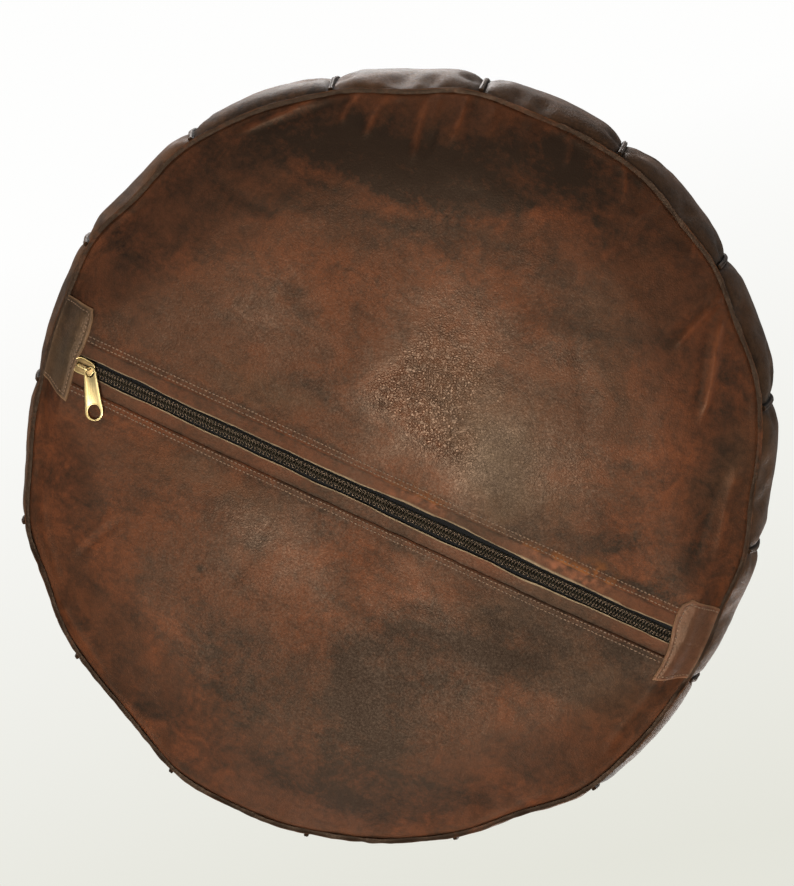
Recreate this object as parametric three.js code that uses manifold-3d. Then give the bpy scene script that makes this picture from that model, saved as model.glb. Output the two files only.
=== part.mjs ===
// A round Moroccan leather pouf, standing on its base. Millimetres, +Z up, floor at z = 0.
// Sixteen side panels and sixteen top panels are sewn together with a raised leather rib in each seam,
// round a medallion on top. The base is two half-round panels with a zip between them, a little off
// centre, so that the cover can be stuffed. X runs along the zip, from its slider to its far end.
import * as THREE from 'three';
import { mergeVertices } from 'three/addons/utils/BufferGeometryUtils.js';
import Module from 'manifold-3d';

const wasm = await Module();
wasm.setup();

// Driving dimensions
const PANELS = 16;
const BELLY_RADIUS = 275;
const BELLY_HEIGHT = 125;
const CROWN_HEIGHT = 349.5;
const SEAM_RADIUS = 258;
const SEAM_HEIGHT = 22;
const SHOULDER_RADIUS = 232;
const MEDALLION_RADIUS = 60;
const MEDALLION_RISE = 2.4;
const LEATHER = 1.6;
const PUFF = 4;
const RIB_RADIUS = 2.4;
const RIB_RISE = 2.2;
const FIT_GAP = 0.4;
const ROUNDNESS = 2.7;

// Base: flat where it meets the floor, dished along the zip, rising to the seam round its edge
const FLAT_RADIUS = 170;
const BASE_RADIUS = SEAM_RADIUS - 2.1;
const ZIP_Y = 25;
const PANEL_EDGE = 15;
const DISH_DEPTH = 8.2;
const DISH_EDGE = 95;
const END_RAMP_RADIUS = 236;

// Zip, facings and the two tabs that cover its ends
const ZIP_START = -226;
const ZIP_END = 222;
const COIL_INNER = 1;
const COIL_OUTER = 4.2;
const COIL_BOTTOM = 9.3;
const TAPE_BOTTOM = 11.9;
const TAPE_THICKNESS = 0.6;
const FACING_INNER = 6.4;
const FACING_OUTER = 22;
const FACING_BOTTOM = 10.4;
const FACING_THICKNESS = 1.2;
const FACING_TUCK = 2.4;
const TAB_GAP = 0.9;

// Slider and its pull
const SLIDER_X = -219;
const SLIDER_LENGTH = 15;
const SLIDER_WIDTH = 11.6;
const OUTER_PLATE_BOTTOM = 7.2;
const PLATE_THICKNESS = 1.6;
const INNER_PLATE_BOTTOM = 12.9;
const INNER_PLATE_THICKNESS = 1.2;
const LOOP_BOTTOM = 1.4;
const LOOP_THICKNESS = 1.2;
const LOOP_LEG_X = 4.6;
const LOOP_WIDTH = 1.4;
const PULL_THICKNESS = 1.3;
const PULL_HEIGHT = 6.2;
const PULL_AZIMUTH = 59.7;
const PULL_PITCH = 3.5;
const PULL_PIN_TO_LEG = 1.5;

const BROWN = { color: 0x5a3222, roughness: 0.5, metalness: 0 };
const DARK_BROWN = { color: 0x38231a, roughness: 0.55, metalness: 0 };
const RED_BROWN = { color: 0x6b3524, roughness: 0.5, metalness: 0 };
const BLACK_NYLON = { color: 0x15120f, roughness: 0.5, metalness: 0 };
const PALE_BRASS = { color: 0xc2ab7c, roughness: 0.3, metalness: 1 };
const WADDING = { color: 0xd8d2c4, roughness: 0.95, metalness: 0 };

const pouf = new THREE.Group();

function addMesh(name, geometry, finish, parent = pouf) {
  const mesh = new THREE.Mesh(geometry, new THREE.MeshStandardMaterial(finish));
  mesh.name = name;
  parent.add(mesh);
  return mesh;
}

const numbered = (name, index) => `${name}_${String(index + 1).padStart(2, '0')}`;
const clamp01 = (value) => Math.min(1, Math.max(0, value));
const mix = (a, b, share) => a + (b - a) * share;
const smooth = (value) => clamp01(value) ** 2 * (3 - 2 * clamp01(value));

// ---- Closed solids ----

function bareGeometry(geometry) {
  geometry.deleteAttribute('normal');
  geometry.deleteAttribute('uv');
  return mergeVertices(geometry, 1e-4);
}

function toSolid(geometry) {
  const merged = bareGeometry(geometry);
  return new wasm.Manifold(new wasm.Mesh({
    numProp: 3,
    vertProperties: new Float32Array(merged.attributes.position.array),
    triVerts: new Uint32Array(merged.index.array),
  }));
}

function toGeometry(solid) {
  const mesh = solid.getMesh();
  const geometry = new THREE.BufferGeometry();
  geometry.setAttribute('position', new THREE.BufferAttribute(mesh.vertProperties, 3));
  geometry.setIndex(new THREE.BufferAttribute(mesh.triVerts, 1));
  return geometry;
}

function box(size, centre) {
  return new THREE.BoxGeometry(...size).translate(...centre);
}

// A curved sheet with a thickness: face(u, v) and back(u, v) give its two skins, u and v from 0 to 1.
function sheetGeometry(across, along, face, back) {
  const positions = [];
  const index = [];
  const row = across + 1;
  const layer = row * (along + 1);
  for (const skin of [face, back]) {
    for (let j = 0; j <= along; j += 1) {
      for (let i = 0; i <= across; i += 1) {
        positions.push(...skin(i / across, j / along).toArray());
      }
    }
  }
  const quad = (a, b, c, d) => index.push(a, b, c, a, c, d);
  for (let j = 0; j < along; j += 1) {
    for (let i = 0; i < across; i += 1) {
      const a = j * row + i;
      quad(a, a + 1, a + row + 1, a + row);
      quad(layer + a, layer + a + row, layer + a + row + 1, layer + a + 1);
    }
  }
  for (let i = 0; i < across; i += 1) {
    const top = along * row + i;
    quad(i, layer + i, layer + i + 1, i + 1);
    quad(top, top + 1, layer + top + 1, layer + top);
  }
  for (let j = 0; j < along; j += 1) {
    const left = j * row;
    const right = left + across;
    quad(left, left + row, layer + left + row, layer + left);
    quad(right, layer + right, layer + right + row, right + row);
  }
  const geometry = new THREE.BufferGeometry();
  geometry.setAttribute('position', new THREE.Float32BufferAttribute(positions, 3));
  geometry.setIndex(index);
  return outward(geometry);
}

// Turns every face of a closed geometry round if its faces point inwards.
function outward(geometry) {
  const points = geometry.attributes.position;
  const corners = [0, 1, 2].map(() => new THREE.Vector3());
  let volume = 0;
  for (let t = 0; t < geometry.index.count; t += 3) {
    corners.forEach((corner, k) => corner.fromBufferAttribute(points, geometry.index.getX(t + k)));
    volume += corners[0].dot(corners[1].cross(corners[2]));
  }
  if (volume < 0) {
    const list = geometry.index.array;
    for (let t = 0; t < list.length; t += 3) {
      [list[t + 1], list[t + 2]] = [list[t + 2], list[t + 1]];
    }
  }
  return geometry;
}

// ---- The outline of the pouf: a rounded-square meridian, from the base seam to the medallion ----

const TOP_REACH = CROWN_HEIGHT - BELLY_HEIGHT;
const seamShare = (1 - (SEAM_RADIUS / BELLY_RADIUS) ** ROUNDNESS) ** (1 / ROUNDNESS);
const LOWER_REACH = (BELLY_HEIGHT - SEAM_HEIGHT) / seamShare;

function outline(turn) {
  const r = BELLY_RADIUS * Math.cos(turn) ** (2 / ROUNDNESS);
  const lift = Math.abs(Math.sin(turn)) ** (2 / ROUNDNESS);
  const z = turn < 0 ? BELLY_HEIGHT - LOWER_REACH * lift : BELLY_HEIGHT + TOP_REACH * lift;
  return new THREE.Vector2(r, z);
}

function outlineOffset(turn, offset) {
  const step = 1e-3;
  const along = outline(turn + step).sub(outline(turn - step)).normalize();
  return outline(turn).add(new THREE.Vector2(along.y, -along.x).multiplyScalar(offset));
}

const turnAtRadius = (radius) => Math.acos((radius / BELLY_RADIUS) ** (ROUNDNESS / 2));
const SEAM_TURN = -turnAtRadius(SEAM_RADIUS);
const SHOULDER_TURN = turnAtRadius(SHOULDER_RADIUS);
const MEDALLION_TURN = turnAtRadius(MEDALLION_RADIUS);

function aroundAxis(point, angle) {
  return new THREE.Vector3(point.x * Math.cos(angle), point.x * Math.sin(angle), point.y);
}

// ---- Side and top panels, puffed out between the ribs ----

const PANEL_ANGLE = (2 * Math.PI) / PANELS;
const RIB_HALF_GAP = RIB_RADIUS + FIT_GAP;

function coverPanel(fromTurn, toTurn, across, along) {
  const skin = (inset) => (u, v) => {
    const turn = mix(fromTurn, toTurn, v);
    const centre = outline(turn);
    const halfAngle = PANEL_ANGLE / 2 - RIB_HALF_GAP / centre.x;
    const side = 2 * u - 1;
    const bulge = PUFF * (1 - side * side) * Math.sqrt(Math.sin(Math.PI * mix(0.06, 0.94, v)));
    return aroundAxis(outlineOffset(turn, bulge - inset), side * halfAngle);
  };
  return sheetGeometry(across, along, skin(0), skin(LEATHER));
}

const SEAM_HALF_GAP_TURN = 0.0012;
const sideGeometry = coverPanel(SEAM_TURN, SHOULDER_TURN - SEAM_HALF_GAP_TURN, 4, 8);
const topGeometry = coverPanel(SHOULDER_TURN + SEAM_HALF_GAP_TURN, MEDALLION_TURN, 4, 6);

for (let k = 0; k < PANELS; k += 1) {
  const finish = k % 2 ? BROWN : RED_BROWN;
  addMesh(numbered('side_panel', k), sideGeometry, finish).rotation.z = k * PANEL_ANGLE;
}
for (let k = 0; k < PANELS; k += 1) {
  const finish = k % 2 ? RED_BROWN : BROWN;
  addMesh(numbered('top_panel', k), topGeometry, finish).rotation.z = k * PANEL_ANGLE;
}

// ---- Ribs: a folded strip of leather in each seam, from the base to the medallion ----

function ribGeometry() {
  const stations = 12;
  const points = [];
  for (let i = 0; i <= stations; i += 1) {
    const turn = mix(SEAM_TURN + 0.01, MEDALLION_TURN - 0.012, i / stations);
    points.push(aroundAxis(outlineOffset(turn, RIB_RISE), PANEL_ANGLE / 2));
  }
  const section = new THREE.Shape();
  section.absarc(0, 0, RIB_RADIUS, 0, 2 * Math.PI);
  return new THREE.ExtrudeGeometry(section, {
    steps: 14,
    curveSegments: 3,
    bevelEnabled: false,
    extrudePath: new THREE.CatmullRomCurve3(points),
  });
}

const rib = ribGeometry();
for (let k = 0; k < PANELS; k += 1) {
  addMesh(numbered('rib', k), rib, DARK_BROWN).rotation.z = k * PANEL_ANGLE;
}

// ---- Medallion in the middle of the top ----

function medallionGeometry() {
  const edgeRadius = MEDALLION_RADIUS - RIB_RADIUS / 2;
  const top = outline(MEDALLION_TURN).y + MEDALLION_RISE;
  const profile = [
    new THREE.Vector2(0, top - LEATHER - MEDALLION_RISE),
    new THREE.Vector2(edgeRadius, top - LEATHER - MEDALLION_RISE),
    new THREE.Vector2(edgeRadius, top - MEDALLION_RISE),
    new THREE.Vector2(edgeRadius - 4, top),
    new THREE.Vector2(0, top),
  ];
  return new THREE.LatheGeometry(profile, 32).rotateX(Math.PI / 2);
}

addMesh('top_medallion', medallionGeometry(), BROWN);

// ---- Base panels ----

// Height of the underside of the base at (x, y).
function baseHeight(x, y) {
  const r = Math.hypot(x, y);
  const fromZip = Math.abs(y - ZIP_Y);
  const rim = clamp01((r - FLAT_RADIUS) / (BASE_RADIUS - FLAT_RADIUS));
  const dome = SEAM_HEIGHT * rim * rim;
  const dish = DISH_DEPTH * clamp01(1 - (fromZip - PANEL_EDGE) / (DISH_EDGE - PANEL_EDGE));
  const endShare = smooth((r - END_RAMP_RADIUS) / (BASE_RADIUS - END_RAMP_RADIUS));
  const beside = mix(dish, SEAM_HEIGHT, endShare);
  return mix(beside, Math.max(dome, dish), smooth((fromZip - FACING_OUTER) / 40));
}

// One half of the base: side is 1 for the half towards +Y and -1 for the other.
function basePanelGeometry(side) {
  const edgeY = ZIP_Y + side * PANEL_EDGE;
  const corner = 6;
  const halfLength = Math.sqrt(BASE_RADIUS ** 2 - (Math.abs(edgeY) + corner) ** 2);
  const rows = [0, 0.06, 0.18, 0.35, 0.6, 0.82, 1];
  const columns = 26;
  const skin = (lift) => (u, v) => {
    const x = halfLength * Math.sin((u - 0.5) * Math.PI);
    const rimY = side * Math.sqrt(BASE_RADIUS ** 2 - x * x);
    const y = mix(edgeY, rimY, rows[Math.round(v * (rows.length - 1))]);
    return new THREE.Vector3(x, y, baseHeight(x, y) + lift);
  };
  return sheetGeometry(columns, rows.length - 1, skin(0), skin(LEATHER));
}

addMesh('base_panel_front', basePanelGeometry(-1), RED_BROWN);
addMesh('base_panel_rear', basePanelGeometry(1), RED_BROWN);

// ---- Facing strips beside the zip, tucked under the edges of the base panels ----

function facingGeometry(side) {
  const reach = Math.sqrt((BASE_RADIUS - 1) ** 2 - (ZIP_Y + FACING_OUTER) ** 2);
  const skin = (lift) => (u, v) => {
    const x = reach * Math.sin((u - 0.5) * Math.PI);
    const y = ZIP_Y + side * mix(FACING_INNER, FACING_OUTER, v);
    const r = Math.hypot(x, y);
    const endShare = smooth((r - END_RAMP_RADIUS) / (BASE_RADIUS - END_RAMP_RADIUS));
    const tuck = FACING_TUCK * clamp01((r - END_RAMP_RADIUS + 3) / 4);
    const z = FACING_BOTTOM + tuck + (SEAM_HEIGHT - DISH_DEPTH) * endShare;
    return new THREE.Vector3(x, y, z + lift);
  };
  return sheetGeometry(30, 2, skin(0), skin(FACING_THICKNESS));
}

addMesh('zip_facing_front', facingGeometry(-1), DARK_BROWN);
addMesh('zip_facing_rear', facingGeometry(1), DARK_BROWN);

// ---- Zip: each half is a nylon coil sewn on its tape ----

function zipHalfGeometry(side) {
  const tapeTop = TAPE_BOTTOM + TAPE_THICKNESS;
  const section = new THREE.Shape([
    new THREE.Vector2(COIL_INNER, COIL_BOTTOM + 0.6),
    new THREE.Vector2(COIL_INNER + 0.6, COIL_BOTTOM),
    new THREE.Vector2(COIL_OUTER - 0.6, COIL_BOTTOM),
    new THREE.Vector2(COIL_OUTER, COIL_BOTTOM + 0.6),
    new THREE.Vector2(COIL_OUTER, TAPE_BOTTOM),
    new THREE.Vector2(PANEL_EDGE, TAPE_BOTTOM),
    new THREE.Vector2(PANEL_EDGE, tapeTop),
    new THREE.Vector2(COIL_INNER, tapeTop),
  ]);
  const depth = ZIP_END - ZIP_START;
  const geometry = new THREE.ExtrudeGeometry(section, { depth, bevelEnabled: false });
  // The section's x becomes the distance from the zip's middle and its y becomes height.
  geometry.rotateX(Math.PI / 2).rotateZ(Math.PI / 2);
  if (side < 0) {
    return geometry.rotateZ(Math.PI).translate(ZIP_END, ZIP_Y, 0);
  }
  return geometry.translate(ZIP_START, ZIP_Y, 0);
}

addMesh('zip_half_front', zipHalfGeometry(-1), BLACK_NYLON);
addMesh('zip_half_rear', zipHalfGeometry(1), BLACK_NYLON);

// ---- Leather tabs sewn over the two ends of the zip ----

function endTabGeometry(innerX, outerX, lowY, highY) {
  const skin = (drop) => (u, v) => {
    const y = mix(lowY, highY, v);
    const rim = Math.sign(outerX) * Math.sqrt((BASE_RADIUS - 1) ** 2 - y * y);
    const limit = Math.sign(outerX) * Math.min(Math.abs(outerX), Math.abs(rim));
    const x = mix(innerX, limit, u);
    const inDish = Math.sign(y - ZIP_Y) * Math.max(PANEL_EDGE, Math.abs(y - ZIP_Y));
    const z = Math.min(baseHeight(x, y), baseHeight(x, ZIP_Y + inDish));
    return new THREE.Vector3(x, y, z - drop);
  };
  return sheetGeometry(9, 8, skin(TAB_GAP), skin(TAB_GAP + LEATHER));
}

addMesh('end_tab_slider', endTabGeometry(-230, -258, -16, 54), DARK_BROWN);
addMesh('end_tab_far', endTabGeometry(221, 258, -7, 60), BROWN);

// ---- Stuffing, hollowed along the zip so that the slider's inner plate runs free ----

function stuffingGeometry() {
  const inset = 2.4;
  const clearance = LEATHER + 1.6;
  const profile = [new THREE.Vector2(0, clearance), new THREE.Vector2(FLAT_RADIUS - 8, clearance)];
  for (const share of [0.35, 0.62, 0.82]) {
    const r = mix(FLAT_RADIUS, BASE_RADIUS, share);
    profile.push(new THREE.Vector2(r, SEAM_HEIGHT * share * share + clearance + 0.8));
  }
  const stations = 11;
  for (let i = 1; i <= stations; i += 1) {
    profile.push(outlineOffset(mix(SEAM_TURN, MEDALLION_TURN, i / stations), -inset));
  }
  profile.push(new THREE.Vector2(0, outline(MEDALLION_TURN).y - inset));
  const body = toSolid(new THREE.LatheGeometry(profile, 32).rotateX(Math.PI / 2));
  const groove = new THREE.Shape([
    new THREE.Vector2(-DISH_EDGE - 8, -1),
    new THREE.Vector2(DISH_EDGE + 8, -1),
    new THREE.Vector2(DISH_EDGE + 8, clearance),
    new THREE.Vector2(30, 17),
    new THREE.Vector2(-30, 17),
    new THREE.Vector2(-DISH_EDGE - 8, clearance),
  ]);
  const length = 2 * BELLY_RADIUS;
  const cutter = new THREE.ExtrudeGeometry(groove, { depth: length, bevelEnabled: false });
  cutter.rotateX(Math.PI / 2).rotateZ(Math.PI / 2).translate(-length / 2, ZIP_Y, 0);
  let carved = body.subtract(toSolid(cutter));
  for (const side of [-1, 1]) {
    const endRecess = box([60, 52, 34], [side * (END_RAMP_RADIUS + 18), ZIP_Y, 15]);
    carved = carved.subtract(toSolid(endRecess));
  }
  return toGeometry(carved);
}

addMesh('stuffing', stuffingGeometry(), WADDING);

// ---- Slider: two plates joined by a post between the coils, side rails and a loop for the pull ----

function sliderPlate(bottom, thickness) {
  const half = SLIDER_LENGTH / 2;
  const width = SLIDER_WIDTH / 2;
  const shape = new THREE.Shape([
    new THREE.Vector2(-half, -width + 2),
    new THREE.Vector2(-half + 3, -width),
    new THREE.Vector2(half - 1, -width),
    new THREE.Vector2(half, -width + 1),
    new THREE.Vector2(half, width - 1),
    new THREE.Vector2(half - 1, width),
    new THREE.Vector2(-half + 3, width),
    new THREE.Vector2(-half, width - 2),
  ]);
  const geometry = new THREE.ExtrudeGeometry(shape, { depth: thickness, bevelEnabled: false });
  return geometry.translate(0, 0, bottom);
}

function sliderGeometry() {
  const plateTop = OUTER_PLATE_BOTTOM + PLATE_THICKNESS;
  const bite = 0.2;
  const railTop = TAPE_BOTTOM - 0.5;
  const railWidth = 1;
  const railY = SLIDER_WIDTH / 2 - railWidth / 2;
  const railHeight = railTop - plateTop + bite;
  const postHeight = INNER_PLATE_BOTTOM - plateTop + 2 * bite;
  const legHeight = OUTER_PLATE_BOTTOM - LOOP_BOTTOM - bite;
  const parts = [
    sliderPlate(INNER_PLATE_BOTTOM, INNER_PLATE_THICKNESS),
    box([4, 1.2, postHeight], [-4.5, 0, plateTop - bite + postHeight / 2]),
    box([2 * LOOP_LEG_X + LOOP_WIDTH, LOOP_WIDTH, LOOP_THICKNESS], [0, 0, LOOP_BOTTOM + LOOP_THICKNESS / 2]),
  ];
  for (const side of [-1, 1]) {
    const railZ = plateTop - bite + railHeight / 2;
    parts.push(box([SLIDER_LENGTH - 5, railWidth, railHeight], [1, side * railY, railZ]));
    const leg = new THREE.CylinderGeometry(LOOP_WIDTH / 2, LOOP_WIDTH / 2, legHeight, 8).rotateX(Math.PI / 2);
    parts.push(leg.translate(side * LOOP_LEG_X, 0, LOOP_BOTTOM + 2 * bite + legHeight / 2));
  }
  let body = toSolid(sliderPlate(OUTER_PLATE_BOTTOM, PLATE_THICKNESS));
  for (const part of parts) {
    body = body.add(toSolid(part));
  }
  return toGeometry(body);
}

const slider = new THREE.Group();
slider.position.set(SLIDER_X, ZIP_Y, 0);
addMesh('zip_slider', sliderGeometry(), PALE_BRASS, slider);
pouf.add(slider);

// ---- Pull: a flat plate with a small eye round the loop's leg and a larger hole at its free end ----

function pullGeometry() {
  const eye = { x: 3.5, radius: 4.2, holeLength: 3.2, holeWidth: 3 };
  const tail = { x: 30.3, radius: 6.25, holeLength: 5.1, holeWidth: 4.3 };
  const lean = Math.asin((tail.radius - eye.radius) / (tail.x - eye.x));
  const shape = new THREE.Shape();
  shape.absarc(eye.x, 0, eye.radius, Math.PI / 2 + lean, (3 * Math.PI) / 2 - lean);
  shape.absarc(tail.x, 0, tail.radius, -Math.PI / 2 - lean, Math.PI / 2 + lean);
  for (const end of [eye, tail]) {
    const hole = new THREE.Path();
    hole.absellipse(end.x, 0, end.holeLength, end.holeWidth, 0, 2 * Math.PI);
    shape.holes.push(hole);
  }
  const settings = { depth: PULL_THICKNESS, bevelEnabled: false, curveSegments: 8 };
  return new THREE.ExtrudeGeometry(shape, settings).translate(0, 0, -PULL_THICKNESS / 2);
}

const azimuth = THREE.MathUtils.degToRad(PULL_AZIMUTH);
const pull = addMesh('zip_pull', pullGeometry(), PALE_BRASS, slider);
pull.position.set(
  LOOP_LEG_X - PULL_PIN_TO_LEG * Math.cos(azimuth),
  -PULL_PIN_TO_LEG * Math.sin(azimuth),
  PULL_HEIGHT,
);
pull.rotation.set(0, THREE.MathUtils.degToRad(PULL_PITCH), azimuth, 'ZYX');

export default pouf;
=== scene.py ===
"""Looks for a round Moroccan leather pouf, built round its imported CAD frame. Metres, floor at z = 0.

The pouf stands upright, and the camera looks at its base from below.
"""

import math

import bmesh
import bpy
import numpy as np
from mathutils import Matrix, Vector, noise


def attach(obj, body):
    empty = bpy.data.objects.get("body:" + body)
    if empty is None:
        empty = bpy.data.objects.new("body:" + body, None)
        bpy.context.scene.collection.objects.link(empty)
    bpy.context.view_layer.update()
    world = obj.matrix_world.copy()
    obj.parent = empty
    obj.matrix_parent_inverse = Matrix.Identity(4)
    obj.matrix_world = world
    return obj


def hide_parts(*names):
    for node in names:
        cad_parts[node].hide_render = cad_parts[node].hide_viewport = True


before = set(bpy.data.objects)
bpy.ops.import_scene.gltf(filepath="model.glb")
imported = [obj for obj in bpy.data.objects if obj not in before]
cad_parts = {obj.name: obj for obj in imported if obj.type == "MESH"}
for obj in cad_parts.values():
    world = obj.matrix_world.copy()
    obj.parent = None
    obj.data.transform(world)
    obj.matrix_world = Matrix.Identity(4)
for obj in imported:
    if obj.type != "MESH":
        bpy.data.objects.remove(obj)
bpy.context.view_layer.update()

MM = 0.001
UP = np.array([0, 0, 1.0])

# ---- The pouf's outline, as in the CAD source ----

PANELS = 16
PANEL_ANGLE = 2 * math.pi / PANELS
BELLY_RADIUS, BELLY_HEIGHT, CROWN_HEIGHT = 275 * MM, 125 * MM, 349.5 * MM
SEAM_RADIUS, SEAM_HEIGHT = 258 * MM, 22 * MM
SHOULDER_RADIUS, MEDALLION_RADIUS = 232 * MM, 60 * MM
ROUNDNESS = 2.7
LEATHER = 1.6 * MM
FLAT_RADIUS, BASE_RADIUS, END_RAMP_RADIUS = 170 * MM, 255.9 * MM, 236 * MM
ZIP_Y = 25 * MM
PANEL_EDGE = 15 * MM
DISH_DEPTH, DISH_EDGE = 8.2 * MM, 95 * MM
ZIP_START, ZIP_END = -226 * MM, 222 * MM
SLIDER_X = -219 * MM

TOP_REACH = CROWN_HEIGHT - BELLY_HEIGHT
LOWER_REACH = (BELLY_HEIGHT - SEAM_HEIGHT) / (1 - (SEAM_RADIUS / BELLY_RADIUS) ** ROUNDNESS) ** (1 / ROUNDNESS)

# How far the hand-sewn base seam wanders from a true circle: waves round the pouf, cosine and sine parts in mm.
SEAM_WANDER = ((1, -2, 8.5), (2, -5.5, 2.5), (3, -2, -0.5), (4, -1, 1), (6, -1, 0), (11, 0.5, -0.6), (16, -1, 0),
               (23, -0.4, 0.4))
# Corners and flat stretches of the seam: direction and half width in degrees, and mm outwards.
SEAM_CORNERS = ((142.6, 6, 2.5), (165, 10, -3.5), (117, 9, -3.2), (92, 6, 1.5), (52, 10, -3.5), (-158, 9, -2))
WANDER_TOP = 200 * MM


def clamp01(value):
    return np.clip(value, 0, 1)


def mix(a, b, share):
    return a + (b - a) * share


def smooth(value):
    value = clamp01(value)
    return value * value * (3 - 2 * value)


def soft_max(a, b, width):
    """The larger of two values, rounded where they cross."""
    return np.maximum(a, b) + np.maximum(width - np.abs(a - b), 0) ** 2 / (4 * width)


def turn_at_radius(radius):
    return math.acos((radius / BELLY_RADIUS) ** (ROUNDNESS / 2))


SEAM_TURN = -turn_at_radius(SEAM_RADIUS)
SHOULDER_TURN = turn_at_radius(SHOULDER_RADIUS)
MEDALLION_TURN = turn_at_radius(MEDALLION_RADIUS)


def outline(turn):
    r = BELLY_RADIUS * np.cos(turn) ** (2 / ROUNDNESS)
    lift = np.abs(np.sin(turn)) ** (2 / ROUNDNESS)
    return r, np.where(turn < 0, BELLY_HEIGHT - LOWER_REACH * lift, BELLY_HEIGHT + TOP_REACH * lift)


def outline_normal(turn):
    step = 1e-3
    (ra, za), (rb, zb) = outline(turn - step), outline(turn + step)
    length = np.hypot(rb - ra, zb - za)
    return (zb - za) / length, (ra - rb) / length


def wander(angle, z):
    """How far outwards the cover lies at this angle, all of it at the base seam and nothing above WANDER_TOP."""
    shift = sum(c * np.cos(n * angle) + s * np.sin(n * angle) for n, c, s in SEAM_WANDER)
    for degrees, half, size in SEAM_CORNERS:
        away = np.mod(np.degrees(angle) - degrees + 180, 360) - 180
        shift = shift + size * np.exp(-((away / half) ** 2))
    return shift * MM * (1 - smooth((z - SEAM_HEIGHT) / (WANDER_TOP - SEAM_HEIGHT)))


def unit(vectors):
    return vectors / np.maximum(np.linalg.norm(vectors, axis=-1, keepdims=True), 1e-12)


def length_along(path):
    return np.concatenate([[0], np.cumsum(np.linalg.norm(np.diff(path, axis=0), axis=1))])


def points_at(x, y, z=0.0):
    """Points from separate coordinates, each a number or a grid."""
    return np.stack(np.broadcast_arrays(x, y, z), -1)


def round_points(radius, angle, z=0.0):
    return points_at(radius * np.cos(angle), radius * np.sin(angle), z)


def cover_point(turn, angle, out=0.0):
    """A point of the cover, out metres outside the outline."""
    (r, z), (nr, nz) = outline(turn), outline_normal(turn)
    z = z + nz * out
    return round_points(r + nr * out + wander(angle, z), angle, z)


def turns_between(start, end, count):
    """Turns evenly spaced along the outline."""
    fine = np.linspace(start, end, 400)
    run = length_along(np.stack(outline(fine), 1))
    return np.interp(np.linspace(0, run[-1], count), run, fine)


def base_height(x, y):
    """Height of the underside of the base."""
    r = np.hypot(x, y)
    from_zip = np.abs(y - ZIP_Y)
    rim = clamp01((r - FLAT_RADIUS) / (BASE_RADIUS - FLAT_RADIUS))
    dome = SEAM_HEIGHT * rim * rim
    dish = DISH_DEPTH * np.minimum(soft_max(1 - (from_zip - PANEL_EDGE) / (DISH_EDGE - PANEL_EDGE), 0 * x, 0.35), 1)
    end_share = smooth((r - END_RAMP_RADIUS) / (BASE_RADIUS - END_RAMP_RADIUS))
    beside = mix(dish, SEAM_HEIGHT, end_share)
    return mix(beside, soft_max(dome, dish, 3 * MM), smooth((from_zip - 22 * MM) / (40 * MM)))


def spread(x, y):
    """Moves a point of the round base out to where the seam really runs."""
    r = np.hypot(x, y)
    angle = np.arctan2(y, x)
    move = wander(angle, SEAM_HEIGHT) * smooth((r - 0.12) / (BASE_RADIUS - 0.12))
    return x + move * np.cos(angle), y + move * np.sin(angle)


def ripples(points, size, seed, octaves=1):
    """Smooth noise from about -1 to 1 at each point, size metres across."""
    offset = Vector((seed * 3.7, seed * 1.3, seed * 7.1))
    return np.array([noise.fractal(Vector(p) / size + offset, 1.0, 2.0, octaves) for p in points.reshape(-1, 3)]
                    ).reshape(points.shape[:-1])


# ---- Meshes ----

scene = bpy.context.scene


def make_mesh(name, verts, faces, materials, attributes=None, sharp=40, closed=True):
    mesh = bpy.data.meshes.new(name)
    mesh.from_pydata([tuple(v) for v in verts], [], [tuple(int(i) for i in f) for f in faces])
    if closed:
        work = bmesh.new()
        work.from_mesh(mesh)
        bmesh.ops.recalc_face_normals(work, faces=work.faces)
        work.to_mesh(mesh)
        work.free()
    for key, values in (attributes or {}).items():
        mesh.attributes.new(key, "FLOAT", "POINT").data.foreach_set("value", np.asarray(values, np.float32))
    mesh.shade_smooth()
    mesh.set_sharp_from_angle(angle=math.radians(sharp))
    for material in materials:
        mesh.materials.append(material)
    piece = bpy.data.objects.new(name, mesh)
    scene.collection.objects.link(piece)
    return piece


# Some lights under the base shine on these pieces only, so that the sides stay free of their glare.
base_pieces = bpy.data.collections.new("base_pieces")
BASE_NAMES = ("base_", "facing_", "zip_", "hem_", "tab_", "slider_", "pull_")


def finish_piece(piece, body, nodes=()):
    """The facts that every piece states: its body and the CAD nodes that it stands for."""
    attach(piece, body)
    if nodes:
        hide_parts(*nodes)
    if piece.name.startswith(BASE_NAMES):
        base_pieces.objects.link(piece)
    return piece


def grid_quads(rows, cols):
    a = (np.arange(rows - 1)[:, None] * cols + np.arange(cols - 1)).ravel()
    return np.stack([a, a + 1, a + cols + 1, a + cols], 1)


def ring_quads(index):
    """Faces between rows of points that each close in a ring."""
    after = np.roll(index, -1, 1)
    return np.stack([index[:-1], after[:-1], after[1:], index[1:]], -1).reshape(-1, 4)


def grid_normals(grid):
    return unit(np.cross(np.gradient(grid, axis=1), np.gradient(grid, axis=0)))


def sheet(name, outer, inner, materials, attributes=None, sharp=40):
    """A closed piece of leather or tape between two grids of points."""
    rows, cols = outer.shape[:2]
    count = rows * cols
    index = np.arange(count).reshape(rows, cols)
    ring = np.concatenate([index[0, :-1], index[:-1, -1], index[-1, :0:-1], index[:0:-1, 0]])
    after = np.roll(ring, -1)
    quads = grid_quads(rows, cols)
    walls = np.stack([ring, ring + count, after + count, after], 1)
    faces = np.concatenate([quads, quads[:, ::-1] + count, walls])
    verts = np.concatenate([outer.reshape(-1, 3), inner.reshape(-1, 3)])
    both = {key: np.tile(np.ravel(values), 2) for key, values in (attributes or {}).items()}
    return make_mesh(name, verts, faces, materials, both, sharp)


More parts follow.
